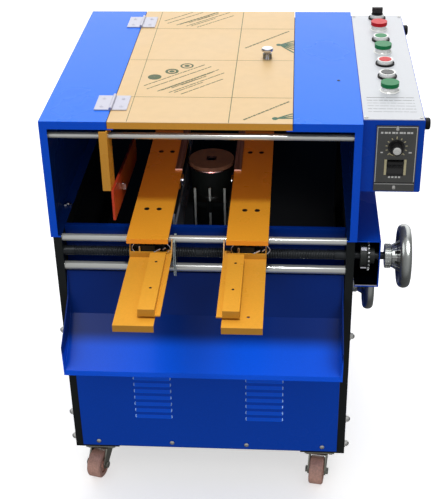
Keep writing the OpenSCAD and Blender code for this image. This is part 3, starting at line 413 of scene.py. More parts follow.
cream = surface("cream_print", (0.66, 0.60, 0.36), 0.4, tint=0.1, tint_scale=80, grain=900, depth=0.00002)
white = surface("white_print", (0.78, 0.79, 0.77), 0.35, tint=0.04, tint_scale=80, grain=900, depth=0.00002)
green_cap = surface("green_cap", (0.012, 0.215, 0.070), 0.2, tint=0.1, tint_scale=60, grain=900,
                    depth=0.00001, Specular_IOR_Level=0.12)
red_cap = surface("red_cap", (0.60, 0.014, 0.022), 0.2, tint=0.08, tint_scale=60, grain=900, depth=0.00001,
                  Specular_IOR_Level=0.12)
black_cap = surface("black_cap", (0.009, 0.009, 0.010), 0.26, tint=0.15, tint_scale=60, grain=900,
                    depth=0.00002)
bezel = surface("bezel_silver", (0.72, 0.72, 0.70), 0.26, 0.25, tint=0.05, tint_scale=60, grain=900,
                depth=0.00001)
tyre = surface("caster_red", (0.64, 0.36, 0.29), 0.42, tint=0.22, tint_scale=55, grain=300, depth=0.00012)
plastic = surface("black_plastic", (0.012, 0.012, 0.013), 0.45, tint=0.2, grain=700, depth=0.00006,
                  Specular_IOR_Level=0.3)


def cover_surface():
    """Amber paint with streaked brown on the raised strip and a painted highlight on the strip's front end.
    """
    tree = shaded_amber_cover.node_tree
    brown = (0.09, 0.060, 0.035, 1)
    where = add(tree, "ShaderNodeTexCoord")
    lines = add(tree, "ShaderNodeMapping", {"Vector": where.outputs["Object"], "Scale": (1, 0.02, 1)})
    streaks = add(tree, "ShaderNodeTexNoise", {"Vector": lines.outputs[0], "Scale": 420.0, "Detail": 2.0})
    band = add(tree, "ShaderNodeMapRange", {0: streaks.outputs[0], 1: 0.46, 2: 0.56, 3: 0.25, 4: 0.95})
    on_strip = inside_box(tree, (-240, 216.7, 505.2), (240, 500, 520))
    share = product(tree, band.outputs[0], on_strip)
    repaint(shaded_amber_cover, on_strip, (0.20, 0.16, 0.11, 1))
    repaint(shaded_amber_cover, share, brown)
    # Painted highlight on the raised strip's front face
    repaint(shaded_amber_cover, inside_box(tree, (-240, 215, 505.2), (240, 216.7, 520)), (0.62, 0.60, 0.48, 1))


cover_surface()


def lap_surface():
    """Abrasive lap: turned rings, painted shade in the centre recess and a fine grit."""
    mat = surface("lap_abrasive", (0.115, 0.10, 0.055), 0.6, tint=0.3, tint_scale=90, grain=1500,
                  depth=0.00012)
    tree = mat.node_tree
    low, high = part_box("lap_disc")
    mid = (low + high) / 2
    where = add(tree, "ShaderNodeTexCoord")
    moved = add(tree, "ShaderNodeMapping", {"Vector": where.outputs["Object"],
                                            "Location": (-mid.x, -mid.y, -mid.z)})
    rings = add(tree, "ShaderNodeTexWave", {"Vector": moved.outputs[0], "Scale": 70.0, "Distortion": 0.6},
                wave_type="RINGS", rings_direction="Z")
    repaint(mat, product(tree, rings.outputs[0], 0.22), (0.09, 0.035, 0.02, 1))
    mid = TO_ROW.inverted() @ mid
    # Painted shade: the centre recess is near black
    recess_shade = inside_box(tree, (mid.x - 9, mid.y - 8, mid.z - 50), (mid.x + 9, mid.y + 8, mid.z + 50))
    repaint(mat, recess_shade, (0.004, 0.003, 0.003, 1))
    return mat


lap = lap_surface()
spindle_steel = surface("spindle_steel", (0.52, 0.44, 0.42), 0.25, 1.0, tint=0.1, tint_scale=40, grain=800,
                        depth=0.00001)
# Painted shade: the shaft's top end within the lap's centre is near black
shaft_end_shade = inside_box(spindle_steel.node_tree, (-16, 270, 490.1), (4, 292, 500))
repaint(spindle_steel, shaft_end_shade, (0.003, 0.003, 0.004, 1))

# ---------------------------------------------------------------- carried-over CAD nodes

SURFACES = {
    "frame": black, "upper_housing": blue_in, "front_panel": blue_front, "rear_panels": blue_rear,
    "catch_tray": blue_tray, "drive_box": shaded_blue_box, "console_box": blue, "guard_rod": chrome_rod,
    "guard_hanger": amber, "guard_plate": red, "lid_panel": lit_amber_lid, "lid_film": kraft, "lid_knob": bright,
    "hinge_fixed_leaves": leaf_metal, "hinge_moving_leaves": leaf_metal, "guide_rods": chrome_rod,
    "lead_screw": screw_steel, "screw_coupling": black_metal, "handwheel": chrome, "left_carriage": cast,
    "right_carriage": cast, "left_cover": shaded_amber_cover, "right_cover": shaded_amber_cover, "left_tray": amber,
    "right_tray": amber, "left_splash_plate": clear, "right_splash_plate": smoke, "left_chuck": bright,
    "right_chuck": bright, "lift_rods": rod_steel, "lift_carrier": black_metal, "spindle_motor": black_metal,
    "spindle_shaft": spindle_steel, "lap_disc": lap, "lift_screw": rod_steel, "lift_handwheel": chrome,
    "console_plate": grey_plate, "button_bezels": bezel, "console_bumpers": rubber, "speed_panel": panel,
    "button_green_front": green_cap, "button_black": black_cap, "button_red_low": red_cap,
    "button_green_mid": green_cap, "button_green_low": green_cap, "button_red_back": red_cap,
    "selector_knob": black_cap, "speed_knob": black_cap, "rocker_switch": black_cap,
    "caster_plates": fork_zinc, "fasteners": zinc, "power_inlet": plastic,
}
for corner in ("fl", "fr", "rl", "rr"):
    SURFACES["caster_fork_" + corner] = fork_zinc
    SURFACES["caster_wheel_" + corner] = tyre

# Edge rounding in millimetres; 0 keeps the CAD edge
ROUNDING = {
    "frame": 0.8, "upper_housing": 0.6, "front_panel": 0.0, "rear_panels": 0.5, "catch_tray": 0.5,
    "drive_box": 0.6, "console_box": 0.0, "guard_hanger": 0.5, "guard_plate": 0.6, "lid_panel": 0.9,
    "lid_film": 0.0, "left_cover": 0.5, "right_cover": 0.5, "left_tray": 0.4, "right_tray": 0.4,
    "console_plate": 0.3, "speed_panel": 0.4, "selector_knob": 0.6, "caster_plates": 0.4,
}
# Sheets whose level faces are joined before their edges are rounded
FLAT_SHEETS = ("left_cover", "right_cover", "left_tray", "right_tray", "upper_housing", "frame", "lid_panel")


def cad_surface_group():
    """Welds the imported mesh and shades it smooth except across sharp edges."""
    tree = bpy.data.node_groups.new("cad_surface", "GeometryNodeTree")
    tree.interface.new_socket("Geometry", in_out="INPUT", socket_type="NodeSocketGeometry")
    tree.interface.new_socket("Geometry", in_out="OUTPUT", socket_type="NodeSocketGeometry")
    start = add(tree, "NodeGroupInput")
    weld = add(tree, "GeometryNodeMergeByDistance", {"Geometry": start.outputs[0], "Distance": 0.000002})
    drop = add(tree, "GeometryNodeRemoveAttribute", {"Geometry": weld.outputs[0], "Name": "custom_normal"})
    faces = add(tree, "GeometryNodeSetShadeSmooth", {"Geometry": drop.outputs[0], "Shade Smooth": True},
                domain="FACE")
    angle = add(tree, "GeometryNodeInputMeshEdgeAngle")
    sharp = add(tree, "FunctionNodeCompare", {0: angle.outputs[0], 1: 0.55}, data_type="FLOAT",
                operation="GREATER_THAN")
    edges = add(tree, "GeometryNodeSetShadeSmooth", {"Geometry": faces.outputs[0],
                                                     "Selection": sharp.outputs[0],
                                                     "Shade Smooth": False}, domain="EDGE")
    end = add(tree, "NodeGroupOutput")
    tree.links.new(edges.outputs[0], end.inputs[0])
    return tree


def round_edges(obj, width, angle=32):
    bevel = obj.modifiers.new("edges", "BEVEL")
    bevel.width = width / 1000
    bevel.segments = 2
    bevel.limit_method = "ANGLE"
    bevel.angle_limit = radians(angle)
    bevel.harden_normals = True


group = cad_surface_group()
for name, obj in frame["nodes"].items():
    obj.data.materials.clear()
    obj.data.materials.append(SURFACES[name])
    obj.modifiers.new("surface", "NODES").node_group = group
    if name in FLAT_SHEETS:
        flat = obj.modifiers.new("flat_faces", "DECIMATE")
        flat.decimate_type = "DISSOLVE"
        flat.angle_limit = radians(1)
    if ROUNDING.get(name):
        round_edges(obj, ROUNDING[name])

# ---------------------------------------------------------------- mesh building


def add_box(bm, low, high, place=None):
    low, high = Vector(low), Vector(high)
    shape = Matrix.Translation((low + high) / 2) @ Matrix.Diagonal((*(high - low), 1))
    verts = bmesh.ops.create_cube(bm, size=1.0)["verts"]
    bmesh.ops.transform(bm, matrix=(place or Matrix()) @ shape, verts=verts)


def add_lathe(bm, profile, place, steps=32, ring=False):
    """Turns (radius, height) pairs about local Z. A ring's profile closes on itself."""
    loops = []
    for r, z in profile:
        count = 1 if r < 1e-6 else steps
        angles = [2 * pi * i / steps for i in range(count)]
        loops.append([bm.verts.new(place @ Vector((r * cos(a), r * sin(a), z))) for a in angles])
    pairs = list(zip(loops, loops[1:]))
    if ring:
        pairs.append((loops[-1], loops[0]))
    for a, b in pairs:
        for i in range(steps):
            j = (i + 1) % steps
            corners = [a[i % len(a)], a[j % len(a)], b[j % len(b)], b[i % len(b)]]
            corners = [v for k, v in enumerate(corners) if v not in corners[:k]]
            if len(corners) > 2:
                bm.faces.new(corners)


def add_prism(bm, outline, z0, z1, place=None):
    """A straight prism over an (x, y) outline."""
    place = place or Matrix()
    low = [bm.verts.new(place @ Vector((x, y, z0))) for x, y in outline]
    high = [bm.verts.new(place @ Vector((x, y, z1))) for x, y in outline]
    bm.faces.new(low[::-1])
    bm.faces.new(high)
    for i in range(len(outline)):
        j = (i + 1) % len(outline)
        bm.faces.new((low[i], low[j], high[j], high[i]))


def add_tube(bm, points, radius, steps=10):
    """A round wire through the points, closed at both ends."""
    points = [Vector(p) for p in points]
    rings = []
    side = None
    for i, p in enumerate(points):
        way = (points[min(i + 1, len(points) - 1)] - points[max(i - 1, 0)]).normalized()
        if side is None:
            side = way.orthogonal().normalized()
        side = (side - way * side.dot(way)).normalized()
        up = way.cross(side)
        angles = [2 * pi * k / steps for k in range(steps)]
        rings.append([bm.verts.new(p + radius * (cos(a) * side + sin(a) * up)) for a in angles])
    for a, b in zip(rings, rings[1:]):
        for k in range(steps):
            n = (k + 1) % steps
            bm.faces.new((a[k], a[n], b[n], b[k]))
    bm.faces.new(rings[0][::-1])
    bm.faces.new(rings[-1])


def toward(place, way, spin=0.0):
    """Local Z along a direction, standing at a point."""
    tilt = Vector(way).to_track_quat("Z", "Y").to_matrix().to_4x4()
    return Matrix.Translation(place) @ tilt @ Matrix.Rotation(spin, 4, "Z")


def add_screw(bm, place, way, r=3.0, h=1.8, spin=0.3):
    """A pan head with a recessed hexagonal socket."""
    at = toward(place, way, spin)
    add_lathe(bm, [(0, h * 0.35), (r * 0.42, h * 0.35), (r * 0.42, h * 0.92), (r * 0.55, h),
                   (r * 0.8, h * 0.85), (r, h * 0.45), (r, 0), (0, 0)], at, 24)


def piece(name, bm, mat, body, edges=0.0, smooth=35, replaces=()):
    bmesh.ops.recalc_face_normals(bm, faces=bm.faces)
    bmesh.ops.transform(bm, matrix=TO_ROW, verts=bm.verts)
    mesh = bpy.data.meshes.new(name)
    bm.to_mesh(mesh)
    bm.free()
    mesh.materials.append(mat)
    mesh.shade_smooth()
    mesh.set_sharp_from_angle(angle=radians(smooth))
    obj = bpy.data.objects.new(name, mesh)
    scene.collection.objects.link(obj)
    if edges:
        round_edges(obj, edges)
    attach(obj, body)
    if replaces:
        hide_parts(*replaces)
    return obj


# ---------------------------------------------------------------- print on the lid's film

film_top = span("lid_film")[1].z
PRINT_H = 0.12


def dash(bm, x, y, length, width, angle, z, h=PRINT_H):
    """A flat bar that starts at (x, y) and runs at an angle in degrees."""
    place = Matrix.Translation((x, y, z)) @ Matrix.Rotation(radians(angle), 4, "Z")
    add_box(bm, (0, -width / 2, 0), (length, width / 2, h), place)


def broken_row(bm, x, y, length, width, angle, z, unit=7.0, h=PRINT_H):
    """A row of plain bars of uneven length with small gaps, in place of printing."""
    done = 0.0
    while done < length - 2:
        step = min(length - done, unit * rng.uniform(0.6, 1.9))
        at_x, at_y = x + done * cos(radians(angle)), y + done * sin(radians(angle))
        dash(bm, at_x, at_y, step - 1.4, width, angle, z, h)
        done += step


def film_print():
    lines = bmesh.new()
    # Start and length of each slanted row
    rows = [(-98.7, 139.5, 129), (-92.4, 126.6, 137), (-74.9, 117.8, 130), (-69.3, 121.4, 109),
            (-56.3, 113.0, 117), (-36.8, 106.9, 90), (-54.2, 131.0, 53), (-39.3, 144.3, 53),
            (-48.0, 113.5, 60)]
    for back in (0, 305):
        for x, y, length in rows:
            room = (493 - y - back) / sin(radians(45))
            if room > 10:
                broken_row(lines, x, y + back, min(length, room), 1.9, 45.5, film_top, 9)
    for x, y, length, angle in ((64.7, 12.6, 97, 46), (54.3, 308.5, 113, 49)):
        broken_row(lines, x, y, length, 3.0, angle, film_top, 5)
    for x, w in ((-108, 0.8), (43, 1.1)):
        add_box(lines, (x - w / 2, 2, film_top), (x + w / 2, 496, film_top + PRINT_H))
    for y, w in ((95, 0.7), (251, 0.45), (404, 0.45)):
        add_box(lines, (-136, y - w / 2, film_top), (136, y + w / 2, film_top + PRINT_H + 0.02))
    piece("film_print_lines", lines, print_green, "lid")

    marks = bmesh.new()
    for back in (0, 305):
        for i, (x, y) in enumerate(((-86, 176), (-60.5, 200.5), (-38, 225))):
            if y + back > 480:
                continue
            place = Matrix.Translation((x, y + back, film_top))
            inner = (0.5, 6.6, 8.0)[i]
            add_lathe(marks, [(11, 0), (11, PRINT_H), (inner, PRINT_H), (inner, 0)], place, 36, ring=True)
            if i:
                add_lathe(marks, [(0, 0), (4.5, 0), (4.5, PRINT_H), (0, PRINT_H)], place, 20)
    piece("film_print_rings", marks, print_green, "lid")

    leaves = bmesh.new()
    fans = ((324.7, (38, 22, 6, -10, -26, -42, -56)), (18.2, (36, 20, 4)))
    for y, angles in fans:
        stub = [(4.6 * cos(2 * pi * k / 20), 5.2 * sin(2 * pi * k / 20)) for k in range(20)]
        add_prism(leaves, stub, 0, PRINT_H, Matrix.Translation((111, y, film_top)))
        for k, angle in enumerate(angles):
            length = min(60, 25 / cos(radians(angle)))
            outline = []
            for t in range(17):
                share = t / 16
                outline.append((share * length, 0.5 + 1.2 * sin(pi * min(1.0, share * 0.62 + 0.08))))
            outline = outline + [(x, -w) for x, w in outline[::-1]]
            place = Matrix.Translation((112, y, film_top)) @ Matrix.Rotation(radians(angle), 4, "Z")
            add_prism(leaves, outline, 0, PRINT_H + 0.01 * (k + 1), place)
    piece("film_print_leaves", leaves, print_leaf, "lid")


film_print()

# ---------------------------------------------------------------- console print and controls

plate_top = span("console_plate")[1].z


def console_print():
    rows = bmesh.new()
    for y, width, unit in ((100, 1.7, 16), (89.5, 1.5, 9), (79, 0.9, 7), (68.5, 0.9, 9), (57.5, 1.3, 7),
                           (47, 0.9, 9)):
        broken_row(rows, 249, y, 73, width, 0, plate_top, unit, 0.1)
    piece("console_print_rows", rows, print_grey, "cabinet")


def button_collars():
    """Black gaskets under the flush buttons and pale collars under the raised ones."""
    gaskets = bmesh.new()
    collars = bmesh.new()
    for name in ("button_black", "button_red_low", "button_green_low", "selector_knob"):
        low, high = span(name)
        place = Matrix.Translation(((low.x + high.x) / 2, (low.y + high.y) / 2, plate_top))
        profile = [(14.15, 0.02), (15.4, 0.02), (15.4, 2.6), (14.9, 3.2), (14.15, 3.2)]
        add_lathe(gaskets, profile, place, 40, ring=True)
    for name in ("button_green_front", "button_green_mid", "button_red_back"):
        low, high = span(name)
        place = Matrix.Translation(((low.x + high.x) / 2, (low.y + high.y) / 2, plate_top))
        profile = [(14.15, 0.02), (15.2, 0.02), (15.2, 0.8), (14.8, 1.2), (14.15, 1.2)]
        add_lathe(collars, profile, place, 40, ring=True)
    piece("button_gaskets", gaskets, rubber, "cabinet")
    piece("button_collars", collars, white, "cabinet")


def speed_face():
    low, high = span("speed_panel")
    face = low.y
    mid = (low.x + high.x) / 2
    knob_low, knob_high = span("speed_knob")
    knob_z = (knob_low.z + knob_high.z) / 2
    # Local X to the right, local Y up, local Z toward the operator
    front = Matrix.Translation((0, face, 0)) @ Matrix.Rotation(pi / 2, 4, "X")

    def bar(bm, x0, x1, z0, z1, h=0.15):
        add_box(bm, (x0, z0, 0), (x1, z1, h), front)

    light = bmesh.new()
    x0, x1, z0, z1, t = low.x + 1.2, high.x - 1.2, low.z + 15.4, high.z - 1.2, 0.9
    bar(light, x0, x0 + t, z0, z1)
    bar(light, x1 - t, x1, z0, z1)
    bar(light, x0 + t, x1 - t, z1 - t, z1)
    bar(light, x0, x1, low.z + 11.6, low.z + 12.3)
    for i in range(9):
        wide = (3.4, 4.4, 3.2, 4.6, 3.0, 4.8, 3.4, 4.6, 3.2)[i]
        bar(light, mid - 24 + i * 5.45, mid - 24 + i * 5.45 + wide, knob_z + 22, knob_z + 25)
    for i in range(4):
        bar(light, mid - 9.5 + i * 5.0, mid - 6.3 + i * 5.0, low.z + 22.2, low.z + 25.0)
    bar(light, mid - 23, mid - 19.5, knob_z - 9.6, knob_z - 7.6)
    bar(light, mid + 18.5, mid + 23, knob_z - 9.6, knob_z - 7.6)
    piece("speed_panel_print", light, white, "cabinet")

    gold = bmesh.new()
    for i in range(11):
        angle = radians(225 - 27 * i)
        at = front @ Matrix.Translation((mid, knob_z, 0)) @ Matrix.Rotation(angle, 4, "Z")
        add_box(gold, (13.4, -0.7, 0), (16.4 if i % 5 else 17.6, 0.7, 0.15), at)
    rocker_low, rocker_high = span("rocker_switch")
    for side in (-1, 1):
        centre = mid + side * 14.6
        bar(gold, centre - 1.7, centre + 1.7, rocker_low.z + 1.5, rocker_high.z + 1.5, 0.8)
    for i in range(12):
        angle = radians(232 + 6.9 * i)
        at = front @ Matrix.Translation((mid, knob_z, 0)) @ Matrix.Rotation(angle, 4, "Z")
        add_box(gold, (13.2, -0.8, 0), (14.6, 0.8, 0.12), at)
    piece("speed_panel_scale", gold, cream, "cabinet")

    screws = bmesh.new()
    for z in (high.z - 2.6, low.z + 7.0):
        add_screw(screws, (mid, face, z), (0, -1, 0), 2.6, 1.2)
    piece("speed_panel_screws", screws, zinc, "cabinet")

    dark = bmesh.new()
    bar(dark, low.x + 0.6, high.x - 0.6, low.z + 12.9, low.z + 14.6)
    piece("speed_panel_divider", dark, black_cap, "cabinet")

    cap = bmesh.new()
    add_lathe(cap, [(0, 0.02), (5.9, 0.02), (5.9, 0.7), (5.2, 1.2), (2.6, 1.35), (2.2, 1.1), (0, 1.1)],
              Matrix.Translation((mid, knob_low.y, knob_z)) @ Matrix.Rotation(pi / 2, 4, "X"), 40)
    piece("speed_knob_cap", cap, white, "speed_knob")

    skirt = bmesh.new()
    for i in range(24):
        at = Matrix.Translation((mid, face - 0.5, knob_z)) @ Matrix.Rotation(pi / 2, 4, "X")
        at = at @ Matrix.Rotation(2 * pi * i / 24, 4, "Z")
        add_box(skirt, (8.2, -0.5, 4.2), (9.3, 0.5, 12.0), at)
    piece("speed_knob_ribs", skirt, black_cap, "speed_knob", edges=0.15)


console_print()
button_collars()
speed_face()

# ---------------------------------------------------------------- screws


def hinge_screws():
    fixed = bmesh.new()
    moving = bmesh.new()
    low, high = span("hinge_fixed_leaves")
    leaf_top = film_top + 1.5
    pin_x = high.x - 2.5
    for y0 in (low.y, high.y - 54):
        for bm, x in ((fixed, pin_x - 15), (moving, pin_x + 15)):
            for dy in (12, 42):
                add_screw(bm, (x, y0 + dy, leaf_top), (0, 0, 1), 3.0, 0.6)
    piece("hinge_screws_fixed", fixed, leaf_metal, "cabinet")
    piece("hinge_screws_moving", moving, leaf_metal, "lid")


def rest_mid(side):
    """Middle of a hollow rest across its width."""
    low, high = span(side + "_tray")
    return high.x - 20.25 if side == "left" else low.x + 21.25


def tray_screws():
    for side in ("left", "right"):
        bm = bmesh.new()
        for y in (-127, -54):
            add_screw(bm, (rest_mid(side), y, 485.1), (0, 0, 1), 2.1, 1.1)
        piece(side + "_tray_screws", bm, screw_steel, side + "_arm")


def housing_screws():
    """Small dark screw on the right strip and pale ones deep inside the chamber."""
    dark = bmesh.new()
    add_screw(dark, (208.5, 167, film_top - 0.05), (0, 0, 1), 2.6, 0.7)
    piece("strip_screw", dark, screw_steel, "cabinet")
    pale = bmesh.new()
    for x, y, way in ((237.8, 380, (-1, 0, 0)), (237.8, 120, (-1, 0, 0)), (-237.8, 300, (1, 0, 0))):
        add_screw(pale, (x, y, 560), way, 4.0, 2.0)
    piece("chamber_screws", pale, zinc, "cabinet")


hinge_screws()
tray_screws()
housing_screws()

# ---------------------------------------------------------------- clamp hardware under the covers' front edge


def cover_hardware(side, centre, out):
    """Black block with a screw, a slanted pin and two wire loops; out is -1 left of the lap and +1 right."""
    body = side + "_arm"
    flip = -out
    block = bmesh.new()
    add_box(block, (centre - 11, -12.6, 470.6), (centre + 11, -3.4, 489))
    add_box(block, (centre + 12, -11, 470.6), (centre + 20, -4, 483))
    add_box(block, (centre - 22, -9.5, 470.6), (centre - 12, -3.4, 478))
    piece(side + "_clamp_block", block, black_metal, body, edges=0.8)

    bits = bmesh.new()
    add_lathe(bits, [(0, 0), (1.9, 0), (1.9, 12), (1.4, 12.6), (0, 12.6)],
              Matrix.Translation((centre - 13.6, -12.4, 476.2)), 20)
    pin = Matrix.Translation((centre + 8.0, -13.6, 477.6)) @ Matrix.Rotation(radians(59), 4, "Y")
    add_lathe(bits, [(0, 0), (1.5, 0), (1.9, 0.6), (1.9, 4.2), (1.4, 4.6), (1.4, 5.4), (1.9, 5.8),
                     (1.9, 10.5), (1.3, 13.6), (0, 13.6)], pin, 20)
    pin = Matrix.Translation((centre + 23.0, -13.2, 483)) @ Matrix.Rotation(radians(50), 4, "Y")
    add_lathe(bits, [(0, 0), (1.3, 0), (1.3, 6), (0, 6)], pin, 16)
    add_screw(bits, (centre + flip * 25.0, -18.0, 476.3), (0, 0, 1), 1.9, 1.6)
    piece(side + "_clamp_pins", bits, bright, body, edges=0.15)

    wires = bmesh.new()
    for x, spread in ((centre - 21.5, -3.5), (centre + 30.0, 5.0)):
        points = []
        for k in range(13):
            t = k / 12
            points.append((x + spread * sin(pi * t * 1.15), -13.4 + 0.8 * cos(pi * t), 492.5 - 15.5 * t))
        add_tube(wires, points, 0.65, 8)
    piece(side + "_clamp_wires", wires, bright, body)


def arm_middle(side):
    low, high = span(side + "_carriage")
    return (low.x + high.x) / 2


cover_hardware("left", arm_middle("left"), -1)
cover_hardware("right", arm_middle("right"), 1)


def clear_plate_edges():
    """Polished edges of the left clear plate's front part."""
    bm = bmesh.new()
    x0, x1 = -47.15, -43.65
    for x in (x0, x1 - 0.7):
        add_box(bm, (x, -2.4, 428), (x + 0.7, -1.6, 489))
    add_box(bm, (x0, -1.5, 489.05), (x1, 26, 489.5))
    piece("clear_plate_edges", bm, clear_edge, "left_arm")


clear_plate_edges()


def cover_screws():
    """Black countersunk screws, four in each cover."""
    profile = [(0, 0.02), (4.2, 0.02), (4.2, 0.5), (3.4, 0.75), (1.9, 0.75), (1.9, 0.2), (0, 0.2)]
    for side, inner in (("left", 1), ("right", -1)):
        low, high = span(side + "_cover")
        middle = (low.x + high.x) / 2
        bm = bmesh.new()
        for y in (77, 289):
            for dx in (-10, 10):
                place = Matrix.Translation((middle + dx - inner * 2, y, 505.02))
                add_lathe(bm, profile, place, 28)
        piece(side + "_cover_screws", bm, rubber, side + "_arm")


cover_screws()


def guard_clip():
    """Small bracket with its nut on the red plate."""
    face = span("guard_plate")[1].x
    bm = bmesh.new()
    add_box(bm, (face, 66, 546), (face + 1.2, 80, 556))
    add_box(bm, (face + 1.2, 66, 546), (face + 7, 67.4, 556))
    add_screw(bm, (face + 1.2, 75, 551), (1, 0, 0), 3.2, 2.2)
    piece("guard_clip", bm, bright, "guard", edges=0.25)


guard_clip()


def star_knob():
    """Bright star-headed screw on the left wall's bottom flange."""
    bm = bmesh.new()
    outline = []
    for k in range(10):
        r = 7.0 if k % 2 == 0 else 3.4
        outline.append((r * cos(2 * pi * k / 10), r * sin(2 * pi * k / 10)))
    spot = Matrix.Translation((span("upper_housing")[0].x + 9, 101, 496.2))
    add_prism(bm, outline, 0, 3.2, spot)
    add_lathe(bm, [(0, 3.2), (3.2, 3.2), (2.6, 5.2), (0, 5.8)], spot, 20)
    piece("chamber_star_screw", bm, bright, "cabinet", edges=0.3)


star_knob()

# ---------------------------------------------------------------- drive box, handwheels and louvres


def coupling_teeth():
    """Teeth on the coupling's flange and bright blocks beside them, a painted highlight on the hub."""
    low, high = span("screw_coupling")
    y, z = (low.y + high.y) / 2, (low.z + high.z) / 2
    teeth = bmesh.new()
    for k in range(22):
        at = Matrix.Translation((0, y, z)) @ Matrix.Rotation(2 * pi * k / 22, 4, "X")
        add_box(teeth, (257.3, -1.3, 21.6), (259.7, 1.3, 24.0), at)
    piece("coupling_teeth", teeth, steel, "screw", edges=0.3)
    # Painted highlight: three bright blocks on the coupling's hub
    hub_glint_blocks = bmesh.new()
    for k in range(3):
        at = Matrix.Translation((0, y, z)) @ Matrix.Rotation(2 * pi * k / 3 + 0.5, 4, "X")
        add_box(hub_glint_blocks, (246.6, -3.4, 18.6), (256, 3.4, 20.6), at)
    piece("coupling_keys", hub_glint_blocks, bright, "screw", edges=0.4)


def drive_box_sill():
    """Bright folded lip at the bottom of the drive box's mouth."""
    right = span("drive_box")[1].x - 2.4
    mouth_low = 410
    bm = bmesh.new()
    outline = [(239.6, 4.4), (right, 4.4), (right, 9.5), (239.6, 14)]
    add_prism(bm, outline, mouth_low + 2.05, mouth_low + 3.4)
    piece("drive_box_sill", bm, bright, "cabinet", edges=0.3)


def wheel_ribs(name, body, rim_x, y, z):
    """Ribs on a handwheel's cone and teeth round its hub's collar."""
    ribs = bmesh.new()
    for k in range(8):
        at = Matrix.Translation((rim_x, y, z)) @ Matrix.Rotation(2 * pi * (k + 0.5) / 8, 4, "X")
        outline = [(-22.6, 15.2), (-22.6, 17.2), (-6.4, 26.2), (-6.4, 24.0)]
        side = at @ Matrix.Rotation(pi / 2, 4, "X")
        add_prism(ribs, outline, -1.3, 1.3, side)
    piece(name + "_ribs", ribs, chrome, body, edges=0.6)
    teeth = bmesh.new()
    for k in range(20):
        at = Matrix.Translation((rim_x, y, z)) @ Matrix.Rotation(2 * pi * k / 20, 4, "X")
        add_box(teeth, (-31.6, -1.5, 18.2), (-22.9, 1.5, 19.3), at)
    piece(name + "_collar_teeth", teeth, chrome, body, edges=0.35)


def louvre_ends():
    """Rounded end cheeks of the louvre hoods, in a pale blue that is a painted glint."""
    bm = bmesh.new()
    for x in (-94, 97):
        for i in range(7):
            z = 137 + i * 13.8
            for side in (-1, 1):
                edge = x + side * 30.5
                outline = [(0, -2.4), (-3.3, -2.3), (-3.4, -1.4), (0, 4.1)]
                tip = [(y * 0.5, zz * 0.5) for y, zz in outline]
                near = [bm.verts.new((edge, y, z + zz)) for y, zz in outline]
                far = [bm.verts.new((edge + side * 1.8, y, z + zz)) for y, zz in tip]
                bm.faces.new(near)
                bm.faces.new(far[::-1])
                for k in range(4):
                    n = (k + 1) % 4
                    bm.faces.new((near[k], far[k], far[n], near[n]))
    piece("louvre_ends", bm, louvre_glint_blue, "cabinet", edges=0.4)


coupling_teeth()
drive_box_sill()
screw_low, screw_high = span("lead_screw")
shaft_y, shaft_z = (screw_low.y + screw_high.y) / 2, (screw_low.z + screw_high.z) / 2
WHEEL_RIM = 6.5
wheel_ribs("handwheel", "screw", span("handwheel")[1].x - WHEEL_RIM, shaft_y, shaft_z)
lift_low, lift_high = span("lift_handwheel")
wheel_ribs("lift_handwheel", "lift_handwheel", lift_high.x - WHEEL_RIM, (lift_low.y + lift_high.y) / 2,
           (lift_low.z + lift_high.z) / 2)
louvre_ends()


def spindle_rims():
    """Thin bright rims under the lap and round the foot of the spindle housing: real edges whose brightness
    is a painted highlight.
    """
    low, high = span("spindle_motor")
    x, y = (low.x + high.x) / 2, (low.y + high.y) / 2
    foot = bmesh.new()
    add_lathe(foot, [(38.05, 438.1), (38.9, 438.1), (38.9, 439.4), (38.05, 439.4)],
              Matrix.Translation((x, y, 0)), 64, ring=True)
    piece("spindle_foot_rim", foot, steel, "lift")
    under = bmesh.new()
    add_lathe(under, [(39.05, 487.1), (40.6, 487.1), (40.9, 488.2), (40.3, 489.4), (39.05, 489.4)],
              Matrix.Translation((x, y, 0)), 64, ring=True)
    piece("lap_backing_rim", under, spindle_steel, "lap")


def knob_serration():
    """Flutes round the foot of the lid's knob."""
    low, high = span("lid_knob")
    x, y = (low.x + high.x) / 2, (low.y + high.y) / 2
    bm = bmesh.new()
    for k in range(12):
        at = Matrix.Translation((x, y, film_top)) @ Matrix.Rotation(2 * pi * k / 12, 4, "Z")
        add_box(bm, (4.6, -0.8, 0.02), (7.6, 0.8, 8.5), at)
    piece("lid_knob_flutes", bm, chrome, "lid", edges=0.3)


spindle_rims()
knob_serration()

# ---------------------------------------------------------------- lead screw with its real thread


def threaded_rod(bm, x0, x1, y, z, root, crest, pitch, hand):
    """A rod along X with one helical ridge; both ends are closed."""
    steps = 20
    per_turn = 4
    count = int((x1 - x0) / (pitch / per_turn))
    rings = []
    for k in range(count + 1):
        x = x0 + (x1 - x0) * k / count
        ring = []
        for s in range(steps):
            turn_at = ((x - x0) / pitch - hand * s / steps) % 1.0
            lift = max(0.0, min(1.0, 2.2 - abs(turn_at - 0.5) * 6.0))
            r = root + (crest - root) * lift
            a = 2 * pi * s / steps
            ring.append(bm.verts.new((x, y + r * cos(a), z + r * sin(a))))
        rings.append(ring)
    for a, b in zip(rings, rings[1:]):
        for s in range(steps):
            n = (s + 1) % steps
            bm.faces.new((a[s], a[n], b[n], b[s]))
    bm.faces.new(rings[0][::-1])
    bm.faces.new(rings[-1])


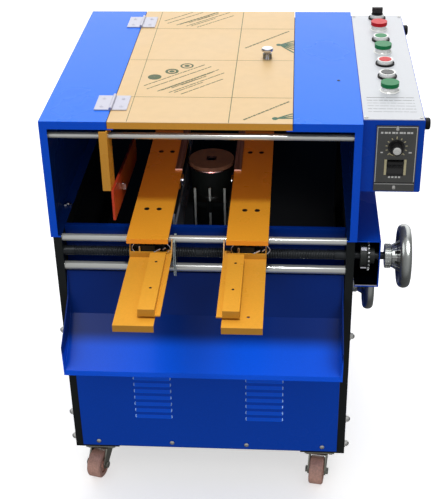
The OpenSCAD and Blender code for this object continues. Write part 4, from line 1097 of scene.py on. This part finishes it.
def lead_screw():
    low, high = span("lead_screw")
    y, z = (low.y + high.y) / 2, (low.z + high.z) / 2
    bm = bmesh.new()
    threaded_rod(bm, -206, -12, y, z, 7.0, 8.0, 4.0, -1)
    threaded_rod(bm, -2, 206, y, z, 7.0, 8.0, 4.0, 1)
    along = Matrix.Translation((0, y, z)) @ Matrix.Rotation(pi / 2, 4, "Y")
    add_lathe(bm, [(0, low.x), (7.4, low.x), (7.9, low.x + 0.5), (7.9, -206.5), (7.2, -206.1),
                   (0, -206.1)], along)
    add_lathe(bm, [(0, -11.9), (7.6, -11.9), (7.6, -2.1), (0, -2.1)], along)
    add_lathe(bm, [(0, 206.1), (7.2, 206.1), (7.9, 206.5), (7.9, 237.5), (7.4, 238), (6, 238),
                   (6, high.x - 0.6), (5.4, high.x), (0, high.x)], along)
    piece("lead_screw_thread", bm, screw_steel, "screw", replaces=("lead_screw",))


lead_screw()

# ---------------------------------------------------------------- floor

floor_mesh = bpy.data.meshes.new("floor")
fb = bmesh.new()
bmesh.ops.create_grid(fb, x_segments=2, y_segments=2, size=30)
fb.to_mesh(floor_mesh)
fb.free()
floor = bpy.data.objects.new("floor", floor_mesh)
scene.collection.objects.link(floor)
floor_mesh.materials.append(surface("floor_pale", (0.9, 0.9, 0.905), 0.8, tint=0.01, tint_scale=1.5, grain=40,
                                    depth=0.0001, Specular_IOR_Level=0.1, Emission_Color=(1, 1, 1, 1),
                                    Emission_Strength=0.56))
floor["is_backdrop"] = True

floor.visible_diffuse = False
floor.visible_glossy = False


def link_lamps():
    """Lets each lamp fall only on its bodies and named pieces; the cabinet's details go with the top lamp."""
    for lamp, bodies, names in LAMPS:
        lit = bpy.data.collections.new("lit_by_" + lamp.name)
        nodes = [frame["nodes"][n] for n in names if n in frame["nodes"]]
        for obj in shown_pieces():
            on = body_of(obj)[0]
            if on in bodies or obj.name in names or obj in nodes:
                lit.objects.link(obj)
            elif on == "cabinet" and obj.name not in frame["nodes"] and lamp.name == "top":
                lit.objects.link(obj)
        lamp.light_linking.receiver_collection = lit


link_lamps()
